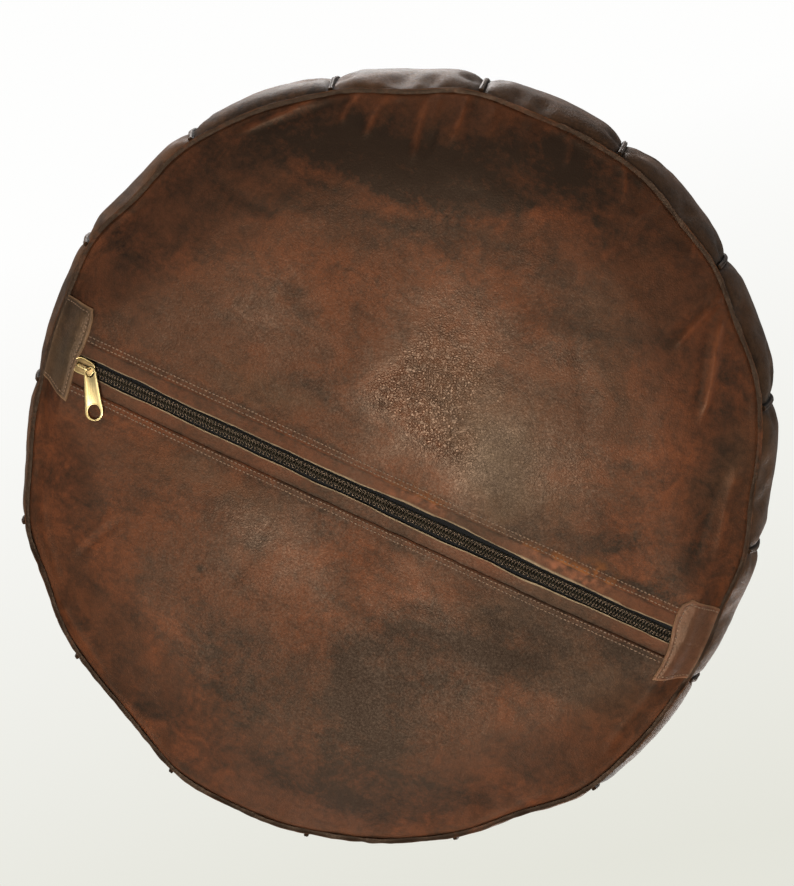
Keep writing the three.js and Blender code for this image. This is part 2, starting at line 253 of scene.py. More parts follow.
def sweep(path, across, up, section, closed=False):
    """Verts and faces of a section carried along a path. section is (n, 2) or (stations, n, 2), in across and up."""
    section = np.asarray(section, float)
    if section.ndim == 2:
        section = np.repeat(section[None], len(path), 0)
    points = path[:, None] + section[..., :1] * across[:, None] + section[..., 1:] * up[:, None]
    stations, sides = points.shape[:2]
    index = np.arange(stations * sides).reshape(stations, sides)
    last = stations if closed else stations - 1
    a, b = index[np.arange(last)], index[(np.arange(last) + 1) % stations]
    faces = np.stack([a, np.roll(a, -1, 1), np.roll(b, -1, 1), b], -1).reshape(-1, 4).tolist()
    if not closed:
        faces += [index[0][::-1].tolist(), index[-1].tolist()]
    return points.reshape(-1, 3), faces


def directions(path, up, closed=False):
    """The across and up directions square to a path. up is one rough direction, or one for each point."""
    tangent = (np.roll(path, -1, 0) - np.roll(path, 1, 0)) if closed else np.gradient(path, axis=0)
    tangent = unit(tangent)
    across = unit(np.cross(tangent, up))
    return across, np.cross(across, tangent)


def scaled(section, wide, high):
    """A section that changes in width and height along its path."""
    return section[None] * np.stack(np.broadcast_arrays(wide, high), 1)[:, None]


def oval(wide, high, count):
    """A closed oval section of the given half sizes."""
    t = np.linspace(0, 2 * math.pi, count, endpoint=False)
    return np.stack([wide * np.cos(t), high * np.sin(t)], 1)


def joined(parts):
    """One list of verts and faces from several."""
    verts, faces, start = [], [], 0
    for part_verts, part_faces in parts:
        verts.append(part_verts)
        faces += [[i + start for i in face] for face in part_faces]
        start += len(part_verts)
    return np.concatenate(verts), faces


def refine(grid, times):
    """Adds smooth in-between points to a grid along both axes."""
    for axis in (0, 1):
        g = np.moveaxis(grid, axis, 0)
        p = np.concatenate([2 * g[:1] - g[1:2], g, 2 * g[-1:] - g[-2:-1]])
        between = []
        for t in np.arange(times) / times:
            weights = ((-t + 2 * t**2 - t**3) / 2, (2 - 5 * t**2 + 3 * t**3) / 2,
                       (t + 4 * t**2 - 3 * t**3) / 2, (t**3 - t**2) / 2)
            between.append(sum(w * p[k:len(p) - 3 + k] for k, w in enumerate(weights)))
        dense = np.stack(between, 1).reshape(-1, *g.shape[1:])
        grid = np.moveaxis(np.concatenate([dense, g[-1:]]), 0, axis)
    return grid


def values_at(at, run, values):
    """Values at lengths along a path, from its values at the lengths in run."""
    return np.stack([np.interp(at, run, values[:, k]) for k in range(3)], 1)


def stitches(path, up, pitch, length, radius, seed, closed=False):
    """Verts and faces of a row of stitches. Each is a short thread that dives into the leather at its ends."""
    up = np.broadcast_to(up, path.shape)
    if closed:
        path, up = np.concatenate([path, path[:1]]), np.concatenate([up, up[:1]])
    run = length_along(path)
    count = max(2, int(round(run[-1] / pitch)))
    at = (np.arange(count) + 0.5) * run[-1] / count
    middle, normal = values_at(at, run, path), values_at(at, run, up)
    near = 0.1 * MM
    ahead, behind = np.minimum(at + near, run[-1]), np.maximum(at - near, 0)
    tangent = unit(values_at(ahead, run, path) - values_at(behind, run, path))
    across = unit(np.cross(normal, tangent))
    normal = np.cross(tangent, across)
    rings = np.array([-1, -0.82, -0.4, 0.4, 0.82, 1.0])
    widths = np.array([0.3, 0.8, 1, 1, 0.8, 0.3])
    around = np.arange(6) * math.pi / 3
    rand = np.random.default_rng(seed)
    lean = rand.normal(0, 0.05, len(middle))
    shift = rand.normal(0, 0.12 * radius, len(middle))
    rings, widths = rings[:, None], widths[:, None]
    dive = radius * (0.45 - 1.5 * rings**4)
    local = points_at(rings * length / 2, widths * radius * np.cos(around), widths * radius * np.sin(around) + dive)
    local = local.reshape(-1, 3)
    local_y = local[None, :, 1] + lean[:, None] * local[None, :, 0] + shift[:, None]
    points = (middle[:, None] + local[None, :, :1] * tangent[:, None] + local_y[..., None] * across[:, None]
              + local[None, :, 2:] * normal[:, None])
    one = ring_quads(np.arange(36).reshape(6, 6)).tolist()
    one += [[5, 4, 3, 2, 1, 0], [30, 31, 32, 33, 34, 35]]
    faces = [[i + 36 * s for i in face] for s in range(len(middle)) for face in one]
    return points.reshape(-1, 3), faces


# ---- Materials ----


class Nodes:
    """A small helper that adds nodes to the node tree of a material or world."""

    def __init__(self, owner):
        owner.use_nodes = True
        self.tree = owner.node_tree
        self.tree.nodes.clear()

    def add(self, kind, settings=None, **inputs):
        made = self.tree.nodes.new(kind)
        for key, value in (settings or {}).items():
            setattr(made, key, value)
        for key, value in inputs.items():
            self.set(made.inputs[key.replace("_", " ")], value)
        return made

    def set(self, socket, value):
        if isinstance(value, bpy.types.NodeSocket):
            self.tree.links.new(value, socket)
        else:
            socket.default_value = value

    def math(self, operation, a, b=0.0, c=0.0):
        made = self.add("ShaderNodeMath", {"operation": operation})
        for socket, value in zip(made.inputs, (a, b, c)):
            self.set(socket, value)
        return made.outputs[0]

    def blend(self, share, a, b, kind="MIX"):
        made = self.add("ShaderNodeMix", {"data_type": "RGBA", "blend_type": kind})
        for index, value in ((0, share), (6, a), (7, b)):
            self.set(made.inputs[index], value)
        return made.outputs[2]

    def vector_math(self, operation, *values):
        made = self.add("ShaderNodeVectorMath", {"operation": operation})
        for socket, value in zip(made.inputs, values):
            self.set(socket, value)
        return made

    def ramp(self, value, *stops):
        """A colour ramp. Each stop is a place from 0 to 1 and a colour."""
        made = self.add("ShaderNodeValToRGB", Fac=value)
        elements = made.color_ramp.elements
        while len(elements) < len(stops):
            elements.new(0.5)
        for element, (position, tone) in zip(elements, stops):
            element.position, element.color = position, tone
        return made.outputs[0]

    def range(self, value, from_min, from_max, to_min, to_max):
        made = self.add("ShaderNodeMapRange", Value=value)
        for index, number in enumerate((from_min, from_max, to_min, to_max), 1):
            made.inputs[index].default_value = number
        return made.outputs[0]


class Shader(Nodes):
    """Nodes of one material with a Principled shader, placed by object coordinates."""

    def __init__(self, name):
        self.material = bpy.data.materials.new(name)
        super().__init__(self.material)
        self.bsdf = self.add("ShaderNodeBsdfPrincipled")
        self.surface = self.add("ShaderNodeOutputMaterial", Surface=self.bsdf.outputs[0]).inputs["Surface"]
        self.place = self.add("ShaderNodeTexCoord").outputs["Object"]

    def shader(self, **inputs):
        """Sets the Principled shader's inputs, and returns the finished material."""
        for key, value in inputs.items():
            self.set(self.bsdf.inputs[key.replace("_", " ")], value)
        return self.material

    def stretched(self, scale):
        return self.add("ShaderNodeMapping", Vector=self.place, Scale=scale).outputs[0]

    def noise(self, scale, detail=2.0, vector=None, distortion=0.0, roughness=0.5):
        made = self.add("ShaderNodeTexNoise", Vector=vector or self.place, Scale=scale, Detail=detail,
                        Distortion=distortion, Roughness=roughness)
        return made.outputs["Fac"]

    def cell_edges(self, scale, vector=None):
        made = self.add("ShaderNodeTexVoronoi", {"feature": "DISTANCE_TO_EDGE"}, Vector=vector or self.place,
                        Scale=scale)
        return made.outputs["Distance"]

    def bump(self, height, distance, strength=1.0, normal=None):
        made = self.add("ShaderNodeBump", Height=height, Distance=distance, Strength=strength)
        if normal:
            self.set(made.inputs["Normal"], normal)
        return made.outputs[0]

    def warped(self, scale, amount):
        push = self.add("ShaderNodeTexNoise", Vector=self.place, Scale=scale, Detail=3.0).outputs["Color"]
        return self.vector_math("MULTIPLY_ADD", push, (amount,) * 3, self.place).outputs[0]

    def attribute(self, name):
        return self.add("ShaderNodeAttribute", {"attribute_name": name}).outputs["Fac"]


def colour(red, green, blue):
    """A colour given as screen values from 0 to 255."""
    return (*(((c / 255 + 0.055) / 1.055) ** 2.4 if c > 10 else c / 3294.6 for c in (red, green, blue)), 1)


WAX = (1.0, 0.68, 0.46, 1)  # the wax on the hide warms its sheen


def leather(name, brown, red, dark, olive, raw=(176, 136, 98), mottle=1.0, roughness=0.40, grain=1.0, gloss=0.5):
    """Dyed and waxed hide. Mesh values: dark, red and olive smears of dye, places rubbed paler, and raw cut edges. The
    dark value also carries painted shade, and the value for rubbed places also carries painted highlights.
    """
    s = Shader(name)
    cloud = s.noise(9, 8, distortion=0.8, roughness=0.62)
    blotch = s.noise(38, 8, distortion=1.4, roughness=0.68)
    streak = s.noise(24, 6, vector=s.stretched((0.45, 1.5, 0.8)), distortion=1.0)
    fine = s.noise(230, 4, roughness=0.65)
    warm = s.math("ADD", s.attribute("red"), s.range(cloud, 0.38, 0.66, -0.3 * mottle, 0.7 * mottle))
    warm = s.math("ADD", warm, s.range(blotch, 0.4, 0.62, -0.15 * mottle, 0.25 * mottle))
    shade = s.math("ADD", s.attribute("dark"), s.range(streak, 0.47, 0.72, 0, 0.5 * mottle))
    shade = s.math("ADD", shade, s.range(blotch, 0.36, 0.66, 0.26 * mottle, -0.16 * mottle))
    shade = s.math("ADD", shade, s.range(fine, 0.32, 0.68, 0.3, -0.22))
    shade = s.range(shade, 0.03, 0.98, 0, 1)
    dye = s.blend(warm, colour(*brown), colour(*red))
    dye = s.blend(s.attribute("olive"), dye, colour(*olive))
    dye = s.blend(shade, dye, colour(*dark))
    pores = s.cell_edges(520)
    pits = s.range(pores, 0.0, 0.12, 0.78, 1.0)
    dye = s.blend(0.8, dye, s.ramp(pits, (0, (0, 0, 0, 1)), (1, (1, 1, 1, 1))), "MULTIPLY")
    # Worn places and painted highlights turn paler and redder.
    worn = s.math("MULTIPLY", s.attribute("worn"), s.range(s.noise(90, 5), 0.35, 0.6, 0.1, 1))
    dye = s.blend(worn, dye, colour(*(min(255, 1.35 * c + 12) for c in red)))
    edge = s.blend(s.noise(240, 3), colour(*raw), colour(*(0.7 * c for c in raw)))
    dye = s.blend(s.attribute("raw"), dye, edge)
    rough = s.range(cloud, 0.3, 0.75, roughness - 0.06, roughness + 0.1)
    rough = s.math("SUBTRACT", rough, s.math("MULTIPLY", s.attribute("grainy"), 0.32))
    rough = s.math("ADD", rough, s.math("MULTIPLY", s.attribute("raw"), 0.35))
    rough = s.math("ADD", rough, s.range(s.noise(700, 3), 0.3, 0.7, -0.1, 0.1))
    grainy = s.math("MAXIMUM", s.attribute("grainy"), s.range(s.noise(11, 3), 0.45, 0.65, 0.25, 0.8))
    pebbles = s.bump(s.range(pores, 0, 0.3, 0, 1), 0.00042 * grain, s.math("MULTIPLY", grainy, 0.42))
    wrinkles = s.bump(s.noise(60, 7, distortion=1.2, roughness=0.66), 0.0022 * grain, 0.22, pebbles)
    crackle = s.range(s.cell_edges(190, s.warped(30, 0.02)), 0, 0.09, 1, 0)
    crackle = s.math("MULTIPLY", crackle, s.range(s.noise(14, 3), 0.45, 0.65, 0, 1))
    crackle = s.bump(s.math("SUBTRACT", 1.0, crackle), 0.0004 * grain, 0.15, wrinkles)
    skin = s.bump(s.noise(1300, 2), 0.0001, 0.5, crackle)
    return s.shader(Base_Color=dye, Roughness=rough, Normal=skin, Specular_IOR_Level=gloss, Specular_Tint=WAX)


def thread(name, tone):
    s = Shader(name)
    twist = s.add("ShaderNodeTexWave", {"wave_type": "BANDS", "bands_direction": "DIAGONAL"}, Vector=s.place,
                  Scale=520, Distortion=2.0, Detail=2.0).outputs["Fac"]
    shade = s.blend(s.noise(90, 3), colour(*(0.7 * c for c in tone)), colour(*(1.15 * c for c in tone)))
    return s.shader(Base_Color=s.blend(s.range(twist, 0, 1, 0, 0.35), shade, colour(*(0.5 * c for c in tone))),
                    Roughness=s.range(twist, 0, 1, 0.6, 0.8), Normal=s.bump(twist, 0.0001, 0.7))


def nylon(name):
    s = Shader(name)
    scuff = s.noise(300, 4)
    return s.shader(Base_Color=s.ramp(scuff, (0.3, colour(36, 34, 25)), (0.75, colour(58, 55, 42))),
                    Roughness=s.range(scuff, 0.3, 0.7, 0.34, 0.46), Specular_Tint=WAX,
                    Normal=s.bump(scuff, 0.00002, 0.3))


def woven_tape(name):
    s = Shader(name)
    warp = s.add("ShaderNodeTexWave", {"bands_direction": "X"}, Vector=s.place, Scale=260).outputs["Fac"]
    weft = s.add("ShaderNodeTexWave", {"bands_direction": "Y"}, Vector=s.place, Scale=330).outputs["Fac"]
    weave = s.math("MULTIPLY", warp, weft)
    # The hollows of the weave are darker: painted shade.
    return s.shader(Base_Color=s.ramp(weave, (0, colour(6, 5, 4)), (1, colour(22, 18, 14))),
                    Roughness=s.range(weave, 0, 1, 0.8, 0.95), Specular_IOR_Level=0.2,
                    Normal=s.bump(weave, 0.00025, 0.9))


def brass(name, low, high):
    s = Shader(name)
    lines = s.noise(900, 3, vector=s.stretched((0.5, 0.5, 2)))
    tarnish = s.noise(140, 4)
    return s.shader(Metallic=1.0, Base_Color=s.ramp(tarnish, (0.3, colour(*low)), (0.62, colour(*high))),
                    Roughness=s.range(tarnish, 0.3, 0.75, 0.44, 0.3), Normal=s.bump(lines, 0.00006, 0.5))


def wadding(name):
    s = Shader(name)
    fluff = s.noise(120, 8, distortion=1.5, roughness=0.7)
    return s.shader(Base_Color=s.ramp(fluff, (0.3, colour(172, 164, 148)), (0.7, colour(228, 222, 208))),
                    Roughness=s.range(fluff, 0.3, 0.7, 0.88, 1.0), Sheen_Weight=0.3,
                    Normal=s.bump(s.noise(420, 6, distortion=2.5, roughness=0.75), 0.0012, 0.9))


BROWN, RED, DARK, OLIVE = (87, 47, 25), (119, 61, 30), (32, 18, 10), (76, 62, 44)
base_hide = leather("base_hide", BROWN, RED, DARK, OLIVE, raw=(176, 108, 60), roughness=0.66, gloss=0.3)
# The side hide's paler, greyer colours are partly its weathering and partly a painted sheen.
side_hide = leather("side_hide", (112, 82, 60), (130, 90, 62), (62, 48, 38), (92, 84, 66), roughness=0.6, gloss=0.28)
top_hide = leather("top_hide", (90, 54, 33), (116, 66, 39), (42, 28, 18), (78, 66, 48), roughness=0.44)
rib_hide = leather("rib_hide", (72, 54, 40), (94, 66, 47), (36, 28, 21), (66, 60, 49), mottle=0.8, roughness=0.55,
                   gloss=0.25)
facing_hide = leather("facing_hide", (88, 51, 31), (112, 62, 37), (46, 30, 19), (80, 64, 46),
                      raw=(222, 192, 150), mottle=0.8, roughness=0.68, grain=0.5, gloss=0.3)
slider_tab_hide = leather("slider_tab_hide", (88, 66, 46), (104, 76, 52), (54, 41, 30), (80, 70, 54), mottle=0.7,
                          roughness=0.55, gloss=0.35)
far_tab_hide = leather("far_tab_hide", (100, 66, 46), (120, 76, 54), (60, 42, 30), (92, 72, 54), mottle=0.7,
                       roughness=0.55, gloss=0.35)
tan_thread = thread("tan_thread", (160, 122, 88))
dark_thread = thread("dark_thread", (70, 50, 36))
nylon_black = nylon("nylon_black")
tape_black = woven_tape("tape_black")
pale_brass = brass("pale_brass", (172, 150, 98), (200, 180, 130))
# The slider body's brass is painted darker than the pull's: painted shade for the dark inside of the slider.
dull_brass = brass("dull_brass", (84, 68, 44), (126, 106, 72))
wool = wadding("wool")


def hide_values(points, seed, dark=0.0, red=0.0, olive=0.0, size=0.11):
    """Cloudy smears of dye for a hide with no listed smears."""
    return {
        "dark": clamp01(dark + 0.75 * ripples(points, size, seed, 3)),
        "red": clamp01(red + 0.8 * ripples(points, size * 0.9, seed + 11, 2)),
        "olive": clamp01(olive + 0.7 * ripples(points, size * 1.2, seed + 23, 3) - 0.25),
        "worn": np.zeros(points.shape[:-1]),
        "raw": np.zeros(points.shape[:-1]),
    }


# ---- Camera, world, lights and floor ----

CAMERA_PLACE = Vector((0.012, -0.141, -0.859))
CAMERA_AIM = Vector((-0.0035, -0.0185, 0))
PICTURE_UP = Vector((-0.413, -0.911, 0))

camera_data = bpy.data.cameras.new("camera")
camera_data.sensor_fit = "HORIZONTAL"
camera_data.sensor_width = 36
camera_data.lens = 58.94
camera_data.clip_start = 0.02
camera_data.clip_end = 50
camera = bpy.data.objects.new("camera", camera_data)
scene.collection.objects.link(camera)
look = (CAMERA_AIM - CAMERA_PLACE).normalized()
right = look.cross(PICTURE_UP).normalized()
turned = Matrix((right, right.cross(look), -look)).transposed()
camera.matrix_world = Matrix.Translation(CAMERA_PLACE) @ turned.to_4x4()
scene.camera = camera

scene.view_settings.view_transform = "Standard"

world = bpy.data.worlds.new("studio")
scene.world = world
sky = Nodes(world)
direction = sky.add("ShaderNodeTexCoord").outputs["Generated"]
rise = sky.range(sky.add("ShaderNodeSeparateXYZ", Vector=direction).outputs["Z"], -1, 1, 0, 1)
# From straight down, where the room is dim, through the horizon to the pale wall and ceiling.
LEVELS = ((0.0, 0.07), (0.3, 0.14), (0.44, 0.34), (0.56, 1.0))
stops = [(position, (level, level, level * 0.985, 1)) for position, level in LEVELS]
room = sky.ramp(rise, *stops, (1, (1, 1, 1, 1)))
# The wall is whitest towards one side and a little greyer and warmer towards the other: painted shade on the wall.
side = sky.range(sky.vector_math("DOT_PRODUCT", direction, (0.62, 0.78, 0)).outputs["Value"], -0.1, 0.42, 0, 1)
room = sky.blend(1, room, sky.blend(side, (0.99, 0.99, 0.985, 1), (0.78, 0.78, 0.71, 1)), "MULTIPLY")
# The wall lights the pouf less than its paleness suggests: it stands far off.
strength = sky.range(sky.add("ShaderNodeLightPath").outputs["Is Camera Ray"], 0, 1, 0.4, 1)
background = sky.add("ShaderNodeBackground", Color=room, Strength=strength)
sky.add("ShaderNodeOutputWorld", Surface=background.outputs[0])


def softbox(name, place, aim, size, watts, tone=(1, 1, 1), diffuse=True, glossy=True, base_only=False):
    data = bpy.data.lights.new(name, "AREA")
    data.shape = "DISK"
    data.size = size
    data.energy = watts
    data.color = tone
    box = bpy.data.objects.new(name, data)
    scene.collection.objects.link(box)
    box.location = place
    box.rotation_euler = (Vector(aim) - Vector(place)).to_track_quat("-Z", "Y").to_euler()
    box.visible_camera = False
    box.visible_diffuse = diffuse
    box.visible_glossy = glossy
    if base_only:
        box.light_linking.receiver_collection = base_pieces
    return box


KEY_PLACE, KEY_AIM = (0.10, 0.48, -1.72), (0.04, -0.05, 0)
MIDDLE = (0, 0, 0)
PALE, WARM, WARMER, BRASSY = (1, 0.985, 0.96), (1, 0.98, 0.95), (1, 0.97, 0.93), (1, 0.96, 0.88)
softbox("low_key", KEY_PLACE, KEY_AIM, 0.5, 6.9, PALE, glossy=False)
softbox("low_sheen", KEY_PLACE, KEY_AIM, 0.5, 66, WARMER, diffuse=False, base_only=True)
softbox("low_fill", (0.9, 2.1, -1.3), MIDDLE, 1.6, 24.5, WARM, glossy=False)
softbox("low_fill_far", (-2.2, -0.2, -1.1), MIDDLE, 1.6, 18, WARM, glossy=False)
softbox("low_rim", (0.5, 2.0, -0.7), (0, 0.2, 0), 1.2, 15, WARMER, base_only=True)
softbox("low_rim_far", (-0.9, -2.0, -0.7), (0, -0.2, 0), 1.2, 9, WARMER, base_only=True)
softbox("low_rim_side", (1.9, -1.3, -0.6), (0.2, -0.1, 0.02), 1.2, 12, WARMER, base_only=True)
pull_light = softbox("pull_light", (-0.62, 0.32, -1.5), (-0.21, 0.03, 0), 0.5, 0.012, BRASSY, diffuse=False,
                     base_only=True)
pull_light.data.spread = math.radians(24)
softbox("top_key", (-1.3, -1.8, 2.3), (0, 0, 0.15), 1.6, 62)
softbox("top_fill", (2.0, 1.1, 1.9), (0, 0, 0.15), 1.8, 36)

FLOOR_HALF, FLOOR_DROP = 14, 0.4 * MM
CORNERS = ((-1, -1), (1, -1), (1, 1), (-1, 1))
floor_mesh = bpy.data.meshes.new("floor")
floor_mesh.from_pydata([(x * FLOOR_HALF, y * FLOOR_HALF, -FLOOR_DROP) for x, y in CORNERS], [], [(0, 1, 2, 3)])
floor = bpy.data.objects.new("floor", floor_mesh)
scene.collection.objects.link(floor)
floor_look = Shader("floor_look")
floor_look.shader(Base_Color=floor_look.blend(floor_look.noise(3, 2), (0.80, 0.80, 0.775, 1), (0.83, 0.83, 0.81, 1)),
                  Roughness=0.9, Specular_IOR_Level=0.2)
# Its underside is clear, so that the camera sees the base through it.
one_sided = floor_look.add("ShaderNodeMixShader", Fac=floor_look.add("ShaderNodeNewGeometry").outputs["Backfacing"])
floor_look.set(one_sided.inputs[1], floor_look.bsdf.outputs[0])
floor_look.set(one_sided.inputs[2], floor_look.add("ShaderNodeBsdfTransparent").outputs[0])
floor_look.set(floor_look.surface, one_sided.outputs[0])
floor_mesh.materials.append(floor_look.material)
# Only the camera sees the floor, so that the soft light from below reaches the base.
floor.visible_diffuse = floor.visible_glossy = floor.visible_transmission = floor.visible_shadow = False

# ---- Side and top of the cover: one skin, held at its seams and blown out by cloth simulation ----

COLUMNS = 12  # for each panel
SIDE_ROWS, TOP_ROWS = 22, 30
REFINE = 3
START_PUFF = 2.6 * MM
MOST_PUFF = 7.5 * MM
SAG_AZIMUTH = math.radians(-74)  # the side on which the stuffing pushes the cover out most
SIM_FRAMES = 20


def fullness(points):
    """How far the cover is pushed out at each point, as a share of the most."""
    azimuth = np.arctan2(points[..., 1:2], points[..., :1])
    low = 0.6 + 0.4 * np.cos(azimuth - SAG_AZIMUTH)
    return mix(low, 0.8, smooth((points[..., 2:] - BELLY_HEIGHT) / (90 * MM)))


def cover_grid():
    turns = np.concatenate([turns_between(SEAM_TURN, SHOULDER_TURN, SIDE_ROWS + 1),
                            turns_between(SHOULDER_TURN, MEDALLION_TURN, TOP_ROWS + 1)[1:]])
    share = np.concatenate([np.linspace(0, 1, SIDE_ROWS + 1), np.linspace(0, 1, TOP_ROWS + 1)[1:]])
    column = np.arange(PANELS * COLUMNS)
    side = 2 * (column % COLUMNS) / COLUMNS - 1
    angle = (column / COLUMNS - 0.5) * PANEL_ANGLE
    flat = cover_point(turns[:, None], angle[None])
    puff = START_PUFF * (1 - side[None] ** 2) * np.sqrt(np.sin(math.pi * share))[:, None] * fullness(flat)[..., 0]
    free = (1 - side[None] ** 2) * np.sin(math.pi * share)[:, None]
    puff = puff + free * (0.9 * MM * ripples(flat, 0.03, 5) + 1.1 * MM * ripples(flat, 0.09, 8))
    return cover_point(turns[:, None], angle[None], puff)


def simulate_cover(start):
    """Blows the skin out between its seams. Returns the grid of points after the simulation."""
    rows, cols = start.shape[:2]
    index = np.arange(rows * cols).reshape(rows, cols)
    skin = make_mesh("cover_skin", start.reshape(-1, 3), ring_quads(index), [], closed=False)
    held = set(index[:, ::COLUMNS].ravel().tolist())
    for row in (0, SIDE_ROWS, rows - 1):
        held |= set(index[row].tolist())
    skin.vertex_groups.new(name="held").add(sorted(int(i) for i in held), 1.0, "REPLACE")
    modifier = skin.modifiers.new("puff", "CLOTH")
    cloth = modifier.settings
    cloth.quality = 6
    cloth.mass = 0.25
    cloth.tension_stiffness = cloth.compression_stiffness = 18
    cloth.shear_stiffness = 8
    cloth.bending_stiffness = 1.2
    cloth.use_pressure = True
    cloth.uniform_pressure_force = 4
    cloth.shrink_min = -0.035
    cloth.vertex_group_mass = "held"
    cloth.effector_weights.gravity = 0
    modifier.point_cache.frame_start = 1
    modifier.point_cache.frame_end = SIM_FRAMES
    for number in range(1, SIM_FRAMES + 1):
        scene.frame_set(number)
    result = skin.evaluated_get(bpy.context.evaluated_depsgraph_get())
    after_sim = np.array([v.co for v in result.data.vertices]).reshape(start.shape)
    bpy.data.objects.remove(skin)
    scene.frame_set(1)
    move = after_sim - start
    length = np.linalg.norm(move, axis=-1, keepdims=True)
    return start + move * fullness(start) * np.minimum(1, (MOST_PUFF - START_PUFF) / np.maximum(length, 1e-9))


cover = cover_grid()
cover = simulate_cover(cover)


def cover_panel(name, node, k, rows, material, seed):
    """One panel of the cover, with puckers along its seams and its edges turned in under the ribs."""
    columns = (np.arange(COLUMNS + 1) + k * COLUMNS) % cover.shape[1]
    grid = refine(cover[rows][:, columns], REFINE)
    count_v, count_u = grid.shape[:2]
    normal = grid_normals(grid)
    centre = grid[count_v // 2, count_u // 2]
    if np.dot(normal[count_v // 2, count_u // 2], centre - np.array([0, 0, BELLY_HEIGHT])) < 0:
        normal = -normal
    side = np.linspace(-1, 1, count_u)[None, :]
    width = np.linalg.norm(grid[:, -1] - grid[:, 0], axis=1)[:, None]
    from_rib = (1 - np.abs(side)) * width / 2
    run = length_along(grid[:, count_u // 2])[:, None]
    from_end = np.minimum(run, run[-1] - run)
    # Short puckers square to the ribs, of uneven pitch, and longer ones square to the base seam and shoulder seam.
    along = points_at(run, 0.35 * from_rib, 0.05 * np.sign(side))
    tug = ripples(along, 7 * MM, seed + 3, 2)
    pucker = 0.75 * MM * tug * np.exp(-from_rib / (7 * MM)) * smooth(from_rib / (2 * MM))
    pleat = MM * ripples(points_at(side * width / 2, 0.3 * from_end), 9 * MM, seed + 7, 2)
    pleat = pleat * np.exp(-from_end / (14 * MM)) * smooth(from_end / (1.5 * MM))
    pucker = pucker + pleat * smooth(from_rib / (3 * MM))
    pucker = pucker + 0.28 * MM * ripples(grid, 16 * MM, seed, 3) * smooth(from_rib / (6 * MM))
    grid = grid + normal * pucker[..., None]
    tuck = 1.4 * MM * (1 - smooth(from_rib / (2.4 * MM))) + 0.8 * MM * (1 - smooth(from_end / (2 * MM)))
    grid = grid - normal * tuck[..., None]
    towards = (grid[:, -1:] - grid[:, :1]) / width[..., None]
    grid = grid - towards * (np.sign(side) * 0.5 * MM * (1 - smooth(from_rib / (4 * MM))))[..., None]
    rand = np.random.default_rng(seed)
    values = hide_values(grid, seed, dark=rand.uniform(-0.15, 0.25), red=rand.uniform(0, 0.35))
    # Painted shade darkens each panel towards its ribs and ends, and a painted highlight makes the crests of the
    # puckers there paler.
    near = np.exp(-from_rib / (5 * MM)) + 0.7 * np.exp(-from_end / (5 * MM))
    values["dark"] = clamp01(values["dark"] + 0.55 * near - 0.15)
    values["worn"] = clamp01(0.5 * clamp01(pucker / (0.6 * MM)) * near)
    if name == "side_skin_15":  # a dark green stain low on one panel
        stain = np.linalg.norm(grid - cover_point(SEAM_TURN * 0.62, math.radians(-29)), axis=-1) / (30 * MM)
        values["olive"] = clamp01(values["olive"] + 0.9 * np.exp(-stain**2))
        values["dark"] = clamp01(values["dark"] + 0.6 * np.exp(-(stain / 0.8) ** 2))
    piece = sheet(name, grid, grid - normal * LEATHER, [material], values)
    finish_piece(piece, "root", [node])


for k in range(PANELS):
    cover_panel(f"side_skin_{k + 1:02}", f"side_panel_{k + 1:02}", k, slice(0, SIDE_ROWS + 1),
                side_hide, 100 + k)
    cover_panel(f"top_skin_{k + 1:02}", f"top_panel_{k + 1:02}", k, slice(SIDE_ROWS, len(cover)),
                top_hide, 200 + k)

# ---- Ribs: a strip of leather folded over each seam, sewn through on both sides ----

RIB_SECTION = np.array([(-2.9, -0.9), (-2.0, -0.1), (-1.5, 0.6), (-1.45, 1.5), (-1.6, 2.4), (-1.1, 3.1), (-0.3, 3.2),
                        (0, 2.7), (0.3, 3.2), (1.1, 3.1), (1.6, 2.4), (1.45, 1.5), (1.5, 0.6), (2.0, -0.1),
                        (2.9, -0.9)]) * MM
RIB_STATIONS = 190
rib_thread = []
for k in range(PANELS):
    turns = turns_between(SEAM_TURN + 0.004, MEDALLION_TURN - 0.006, RIB_STATIONS)
    angle = (k + 0.5) * PANEL_ANGLE
    path = cover_point(turns, angle, -0.4 * MM)
    nr, nz = outline_normal(turns)
    across, up = directions(path, round_points(nr, angle, nz))
    line = points_at(np.arange(RIB_STATIONS) * 2.6 * MM, 0, k)
    sway, swell, squeeze = (ripples(line, size * MM, 40 + k + part, 2) for part, size in ((0, 30), (31, 12), (62, 20)))
    section = scaled(RIB_SECTION, 1 + 0.16 * squeeze, 1 + 0.12 * swell)
    section[..., 0] += (0.5 * MM * sway)[:, None] * clamp01(RIB_SECTION[:, 1] / (3 * MM))
    verts, faces = sweep(path, across, up, section)
    height = np.tile(RIB_SECTION[:, 1], RIB_STATIONS)
    values = hide_values(verts, 300 + k, dark=0.15, size=0.07)
    values["worn"] = clamp01((height - 2.6 * MM) / (0.5 * MM)) * 0.5
    # Painted shade darkens the rib low down, where it meets the panels.
    values["dark"] = clamp01(values["dark"] + 0.8 * clamp01(1 - height / (1.6 * MM)))
    rib = make_mesh(f"rib_strip_{k + 1:02}", verts, faces, [rib_hide], values, sharp=60)
    finish_piece(rib, "root", [f"rib_{k + 1:02}"])
    for side in (-1, 1):
        line = path + up * 1.1 * MM + across * side * 1.5 * MM
        rib_thread.append(stitches(line, across * side, 5 * MM, 3.1 * MM, 0.33 * MM, 400 + 2 * k + side))
finish_piece(make_mesh("rib_stitching", *joined(rib_thread), [dark_thread], closed=False), "root")

# ---- Shoulder seam: a narrow welt between the side and top panels ----

